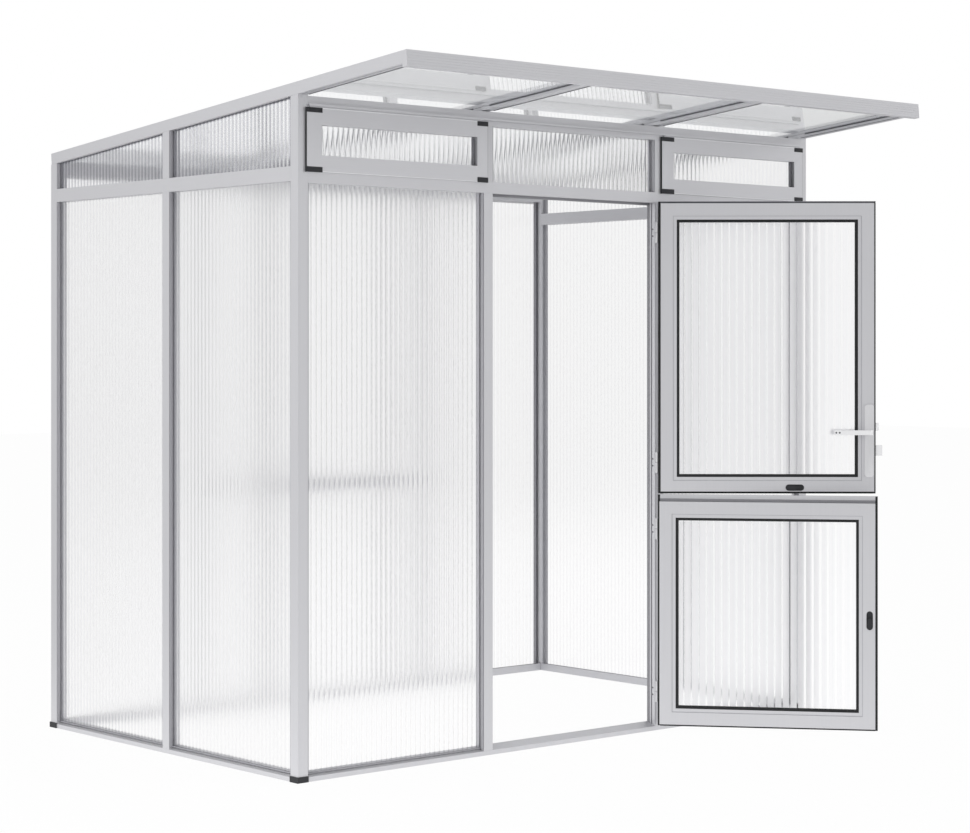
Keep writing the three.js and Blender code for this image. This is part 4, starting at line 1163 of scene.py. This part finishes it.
@dataclass
class DoorHardware:
    """Lock plate cover, lever grub screws, hinge sleeves, and the screws and stop seals of the jambs, whose grey
    is partly painted shade.
    """

    finishes: Finishes
    lock_x: float = -803.0
    plate_half: float = 18.3
    plate_low: float = 969.2
    plate_top: float = 1244.8
    plate_face: float = 37.05
    plate_cut: float = 9.0
    plate_thick: float = 0.8
    plate_screw: float = 4.0
    plate_screw_tall: float = 1.6
    grub: float = 3.6
    grub_sunk: float = 0.2
    grub_proud: float = 0.5
    grub_places: Pair = (7.0, 20.0)  # from the lever's tip
    grip_deep: float = 6.0  # depth behind the lever's inner face in which its grip lies
    hinge_line: Pair = (417.0, -28.0)
    hinge_heights: tuple[float, ...] = (149.0, 770.0, 1023.0, 1900.0)
    knuckle: float = 39.0
    knuckle_gap: float = 2.0
    sleeve: float = 6.9
    sleeve_short: float = 1.0  # how much a sleeve is shorter than its knuckle at each end
    hinge_screw: float = 3.4
    hinge_screw_y: float = -10.0
    hinge_screw_z: float = 13.0
    hinge_screw_sunk: float = 0.4
    hinge_screw_proud: float = 0.15
    jamb: float = 412.0
    stop_near: float = 6.5
    stop_far: float = 20.0
    stop_low: float = 24.0
    stop_top: float = 2012.0
    stop_thick: float = 0.9
    stop_hang: float = 9.0
    stop_clear: float = 1.5

    def build(self) -> None:
        """Builds the hardware."""
        self._lock_plate()
        self._lever_screws()
        self._hinges()
        self._jamb_seals()

    def _lock_plate(self) -> None:
        """A bright cover with cut corners over the lock plate, and its two screws."""
        cover = PieceMaker("lock_plate_cover", Panel.UPPER_LEAF.place)
        half, cut = self.plate_half, self.plate_cut
        x, low, top = self.lock_x, self.plate_low, self.plate_top
        right = [(half - cut, low), (half, low + cut), (half, top - cut), (half - cut, top)]
        outline = [(x + reach, z) for reach, z in right] + [(x - reach, z) for reach, z in reversed(right)]
        cover.plate(outline, self.plate_face, self.plate_face + self.plate_thick, LIP_EDGE)
        for z in (low + 2 * cut, top - 2 * cut):
            head = (x, self.plate_face + self.plate_screw_tall, z)
            cover.rod((x, self.plate_face, z), head, self.plate_screw, sides=20, edge=0.4)
        cover.done(self.finishes.bright_steel, Panel.UPPER_LEAF.value, STEEL_SLOT)

    def _lever_screws(self) -> None:
        """Two dark grub screws at the tip of the inner lever."""
        back = Panel.UPPER_LEAF.place.inverted()
        lever = frame["nodes"]["lever_handle"]
        spots = [back @ (lever.matrix_world @ v.co) for v in lever.data.vertices]
        face = max(spot.y for spot in spots)
        inner = [spot for spot in spots if spot.y > face - self.grip_deep]
        tip = max(spot.x for spot in inner)
        middle = (max(spot.z for spot in inner) + min(spot.z for spot in inner)) / 2
        screws = PieceMaker("lever_grub_screws", Panel.UPPER_LEAF.place)
        near, far = face - self.grub_sunk, face + self.grub_proud
        for x in (tip - place for place in self.grub_places):
            screws.rod((x, near, middle), (x, far, middle), self.grub, sides=16, edge=0.2)
        screws.done(self.finishes.dark_rubber, "lever", PLASTIC_SLOT)

    def _hinges(self) -> None:
        """Bright sleeves on the knuckles, and screws in the jamb beside them."""
        place = Matrix.Scale(MM, 4)
        sleeves = PieceMaker("hinge_sleeves", place)
        screws = PieceMaker("hinge_screws", place)
        x, y = self.hinge_line
        reach = self.knuckle / 2 - self.sleeve_short
        root, head = self.jamb + self.hinge_screw_sunk, self.jamb - self.hinge_screw_proud
        for height in self.hinge_heights:
            for end in (-1, 1):
                middle = height + end * (self.knuckle + self.knuckle_gap) / 2
                low, top = (x, y, middle - reach), (x, y, middle + reach)
                sleeves.rod(low, top, self.sleeve, sides=24, edge=0.5)
                z = height + end * self.hinge_screw_z
                start, tip = (root, self.hinge_screw_y, z), (head, self.hinge_screw_y, z)
                screws.rod(start, tip, self.hinge_screw, sides=16, edge=0.1)
        sleeves.done(self.finishes.bright_steel, ROOT, STEEL_SLOT)
        screws.done(self.finishes.dark_rubber, ROOT, PLASTIC_SLOT)

    def _jamb_seals(self) -> None:
        """Grey stop seals on both jambs and under the head rail, behind the shut leaves; on the jambs their grey
        is also painted shade, the dark band of the jambs' shaded returns.
        """
        seals = PieceMaker("jamb_stop_seals_and_shade", Matrix.Scale(MM, 4))
        near, far = self.stop_near, self.stop_far
        for side in (-1, 1):
            left, right = sorted((side * (self.jamb - GAP), side * (self.jamb - self.stop_thick)))
            seals.block((left, near, self.stop_low), (right, far, self.stop_top), LIP_EDGE)
        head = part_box("head_rail")[0].z / MM
        ends = self.jamb - self.stop_clear
        seals.block((-ends, near, head - self.stop_hang), (ends, far, head - GAP), LIP_EDGE)
        # partly painted shade: the grey seals on the jambs stand in for the shade on the jambs' returns
        seals.done(self.finishes.grey_rubber, ROOT, PLASTIC_SLOT)


# ---------------------------------------------------------------- studio


@dataclass(frozen=True)
class Softbox:
    """A square soft lamp that looks at the middle of the greenhouse."""

    name: str
    place: tuple[float, float, float]
    size: float
    power: float
    target: tuple[float, float, float] = (0.0, 0.4, 1.1)

    def build(self) -> None:
        """Hangs the lamp; metal and glass don't show it."""
        data = bpy.data.lights.new(self.name, "AREA")
        data.shape = "SQUARE"
        data.size = self.size
        data.energy = self.power
        lamp = bpy.data.objects.new(self.name, data)
        lamp.visible_glossy = False
        lamp.visible_transmission = False
        bpy.context.scene.collection.objects.link(lamp)
        lamp.location = self.place
        aim = Vector(self.target) - Vector(self.place)
        lamp.rotation_euler = aim.to_track_quat("-Z", "Y").to_euler()


@dataclass
class Studio:
    """Floor, lamps, world and camera."""

    softboxes: tuple[Softbox, ...] = (
        Softbox("key softbox", (-8.4, -1.9, 4.6), 5.0, 180.0),
        Softbox("low softbox", (-6.8, -1.6, 0.6), 2.5, 240.0),
        Softbox("fill softbox", (6.5, -7.4, 2.4), 5.0, 390.0),
        Softbox("top softbox", (0.0, 2.0, 8.5), 6.0, 90.0),
    )
    camera_place: tuple[float, float, float] = (-6.027, -6.410, 1.450)  # solved from the photograph's edges
    camera_turn: float = math.atan2(-0.6577, 0.7533)  # the lens looks along (0.6577, 0.7533) on plan
    lens: float = 87.96
    sensor: float = 36.0
    shift_y: float = -66.0 / 970.0  # in pixels of the photograph, over its width
    floor_half: float = 30.0
    room_tone: float = 0.45  # the room as the light that falls on the object
    mirror_tone: float = 0.75  # the room as metal shows it
    glass_tone: float = 0.92  # the room, and the far floor, seen through a sheet
    floor_glow: float = 0.97
    floor_bright: float = 5.0  # from the middle to here the floor stays white through a sheet
    floor_fade: float = 18.0
    pool_edge: float = 1.5  # a painted pool of light: the floor's glow stands in for the light it throws back, and fades from here
    pool_fade: float = 5.5
    pool_tone: float = 0.48
    pool_share: float = 0.8

    def build(self) -> None:
        """Builds the studio."""
        self.floor()
        for softbox in self.softboxes:
            softbox.build()
        self.world()
        self.camera()
        bpy.context.scene.view_settings.view_transform = "Standard"
        LOG.info("made the studio")

    def floor(self) -> None:
        """A pale painted floor that stays white to the camera and keeps the object's shadow; round the greenhouse
        it glows in a painted pool of light, which lights the object from below.
        """
        mesh = bmesh.new()
        bmesh.ops.create_grid(mesh, x_segments=1, y_segments=1, size=self.floor_half)
        data = bpy.data.meshes.new("floor")
        mesh.to_mesh(data)
        mesh.free()
        floor = bpy.data.objects.new("floor", data)
        bpy.context.scene.collection.objects.link(floor)
        material, tree, out = new_material("pale painted floor")
        paint = add_node(tree, "ShaderNodeBsdfDiffuse", Color=linear("FAFAFA")).outputs[0]
        ray = add_node(tree, "ShaderNodeLightPath")
        camera, through = ray.outputs["Is Camera Ray"], self._seen_through(tree, ray)
        place = add_node(tree, "ShaderNodeTexCoord").outputs["Object"]
        reach = add_node(tree, "ShaderNodeVectorMath", {"operation": "LENGTH"}, in0=place).outputs["Value"]
        rows = (
            (self.floor_bright, self.floor_fade, self.glass_tone),
            (self.pool_edge, self.pool_fade, self.pool_tone),
        )
        fades = []
        for near, far, low in rows:
            limits = {"From_Min": near, "From_Max": far, "To_Min": 1.0, "To_Max": low}
            fades.append(add_node(tree, "ShaderNodeMapRange", SMOOTH, Value=reach, **limits).outputs[0])
        behind, pool = fades
        behind = add_node(tree, MATHS, TIMES, in0=through, in1=behind).outputs[0]
        # painted pool of light: the floor glows brightest round the greenhouse for the rays that light the object
        tone = add_node(tree, MATHS, GREATER_OF, in0=pool, in1=behind).outputs[0]
        tone = add_node(tree, MATHS, GREATER_OF, in0=tone, in1=camera).outputs[0]
        glow = add_node(tree, "ShaderNodeEmission", Color=linear("FFFFFF"), Strength=tone).outputs[0]
        share = through
        for kind in (camera, ray.outputs["Is Glossy Ray"]):
            lit = add_node(tree, MATHS, TIMES, in0=kind, in1=self.floor_glow).outputs[0]
            share = add_node(tree, MATHS, GREATER_OF, in0=share, in1=lit).outputs[0]
        share = add_node(tree, MATHS, GREATER_OF, in0=share, in1=self.pool_share).outputs[0]
        mixed = add_node(tree, "ShaderNodeMixShader", in0=share, in1=paint, in2=glow)
        tree.links.new(mixed.outputs[0], out.inputs[0])
        data.materials.append(material)

    def _seen_through(self, tree: Tree, ray: bpy.types.Node) -> Socket:
        """One where the eye looks through a sheet, and none for the light that a matt face gathers.

        Args:
            tree: the node tree.
            ray: its Light Path node.

        Returns:
            The share's socket.
        """
        below = {"operation": "LESS_THAN"}
        direct = add_node(tree, MATHS, below, in0=ray.outputs["Diffuse Depth"], in1=0.5).outputs[0]
        return add_node(tree, MATHS, TIMES, in0=ray.outputs["Is Transmission Ray"], in1=direct).outputs[0]

    def world(self) -> None:
        """An even white room, dimmer as light on the object than as the camera sees it."""
        world = bpy.data.worlds.new("white room")
        bpy.context.scene.world = world
        world.use_nodes = True
        tree = world.node_tree
        tree.nodes.clear()
        ray = add_node(tree, "ShaderNodeLightPath")
        strength = self.room_tone
        glossy, through = ray.outputs["Is Glossy Ray"], self._seen_through(tree, ray)
        for kind, tone in ((glossy, self.mirror_tone), (through, self.glass_tone)):
            seen = add_node(tree, MATHS, TIMES, in0=kind, in1=tone).outputs[0]
            strength = add_node(tree, MATHS, GREATER_OF, in0=seen, in1=strength).outputs[0]
        camera = ray.outputs["Is Camera Ray"]
        strength = add_node(tree, MATHS, GREATER_OF, in0=strength, in1=camera).outputs[0]
        light = add_node(tree, "ShaderNodeBackground", Color=linear("FFFFFF"), Strength=strength)
        out = add_node(tree, "ShaderNodeOutputWorld")
        tree.links.new(light.outputs[0], out.inputs[0])

    def camera(self) -> None:
        """The photograph's view: a level camera with its frame shifted down."""
        data = bpy.data.cameras.new("camera")
        data.sensor_width = self.sensor
        data.sensor_fit = "HORIZONTAL"
        data.lens = self.lens
        data.shift_y = self.shift_y
        camera = bpy.data.objects.new("camera", data)
        bpy.context.scene.collection.objects.link(camera)
        camera.location = self.camera_place
        camera.rotation_euler = (math.pi / 2, 0.0, self.camera_turn)
        bpy.context.scene.camera = camera


def main() -> None:
    logging.basicConfig(level=logging.INFO, format="%(name)s: %(message)s")
    finishes = Finishes()
    finishes.dress_cad()
    LeafTrim(
        Panel.UPPER_LEAF,
        finishes,
        low=905.0,
        top=2019.0,
        body_low=914.0,
        body_top=2010.0,
        glass_low=969.0,
        glass_top=1948.0,
        catch=(-521.0, 929.0),
        catch_long=70.6,
    ).build()
    LeafTrim(
        Panel.LOWER_LEAF,
        finishes,
        low=20.0,
        top=902.0,
        body_low=29.0,
        body_top=876.0,
        glass_low=90.0,
        glass_top=815.0,
        catch=(-801.0, 437.0),
        catch_long=-70.6,
    ).build()
    for vent in (Panel.LEFT_VENT, Panel.RIGHT_VENT):
        VentTrim(vent, finishes).build()
    WallSeals(finishes).build()
    RoofSeals(finishes).build()
    DoorHardware(finishes).build()
    Studio().build()


if __name__ == "__main__":
    main()
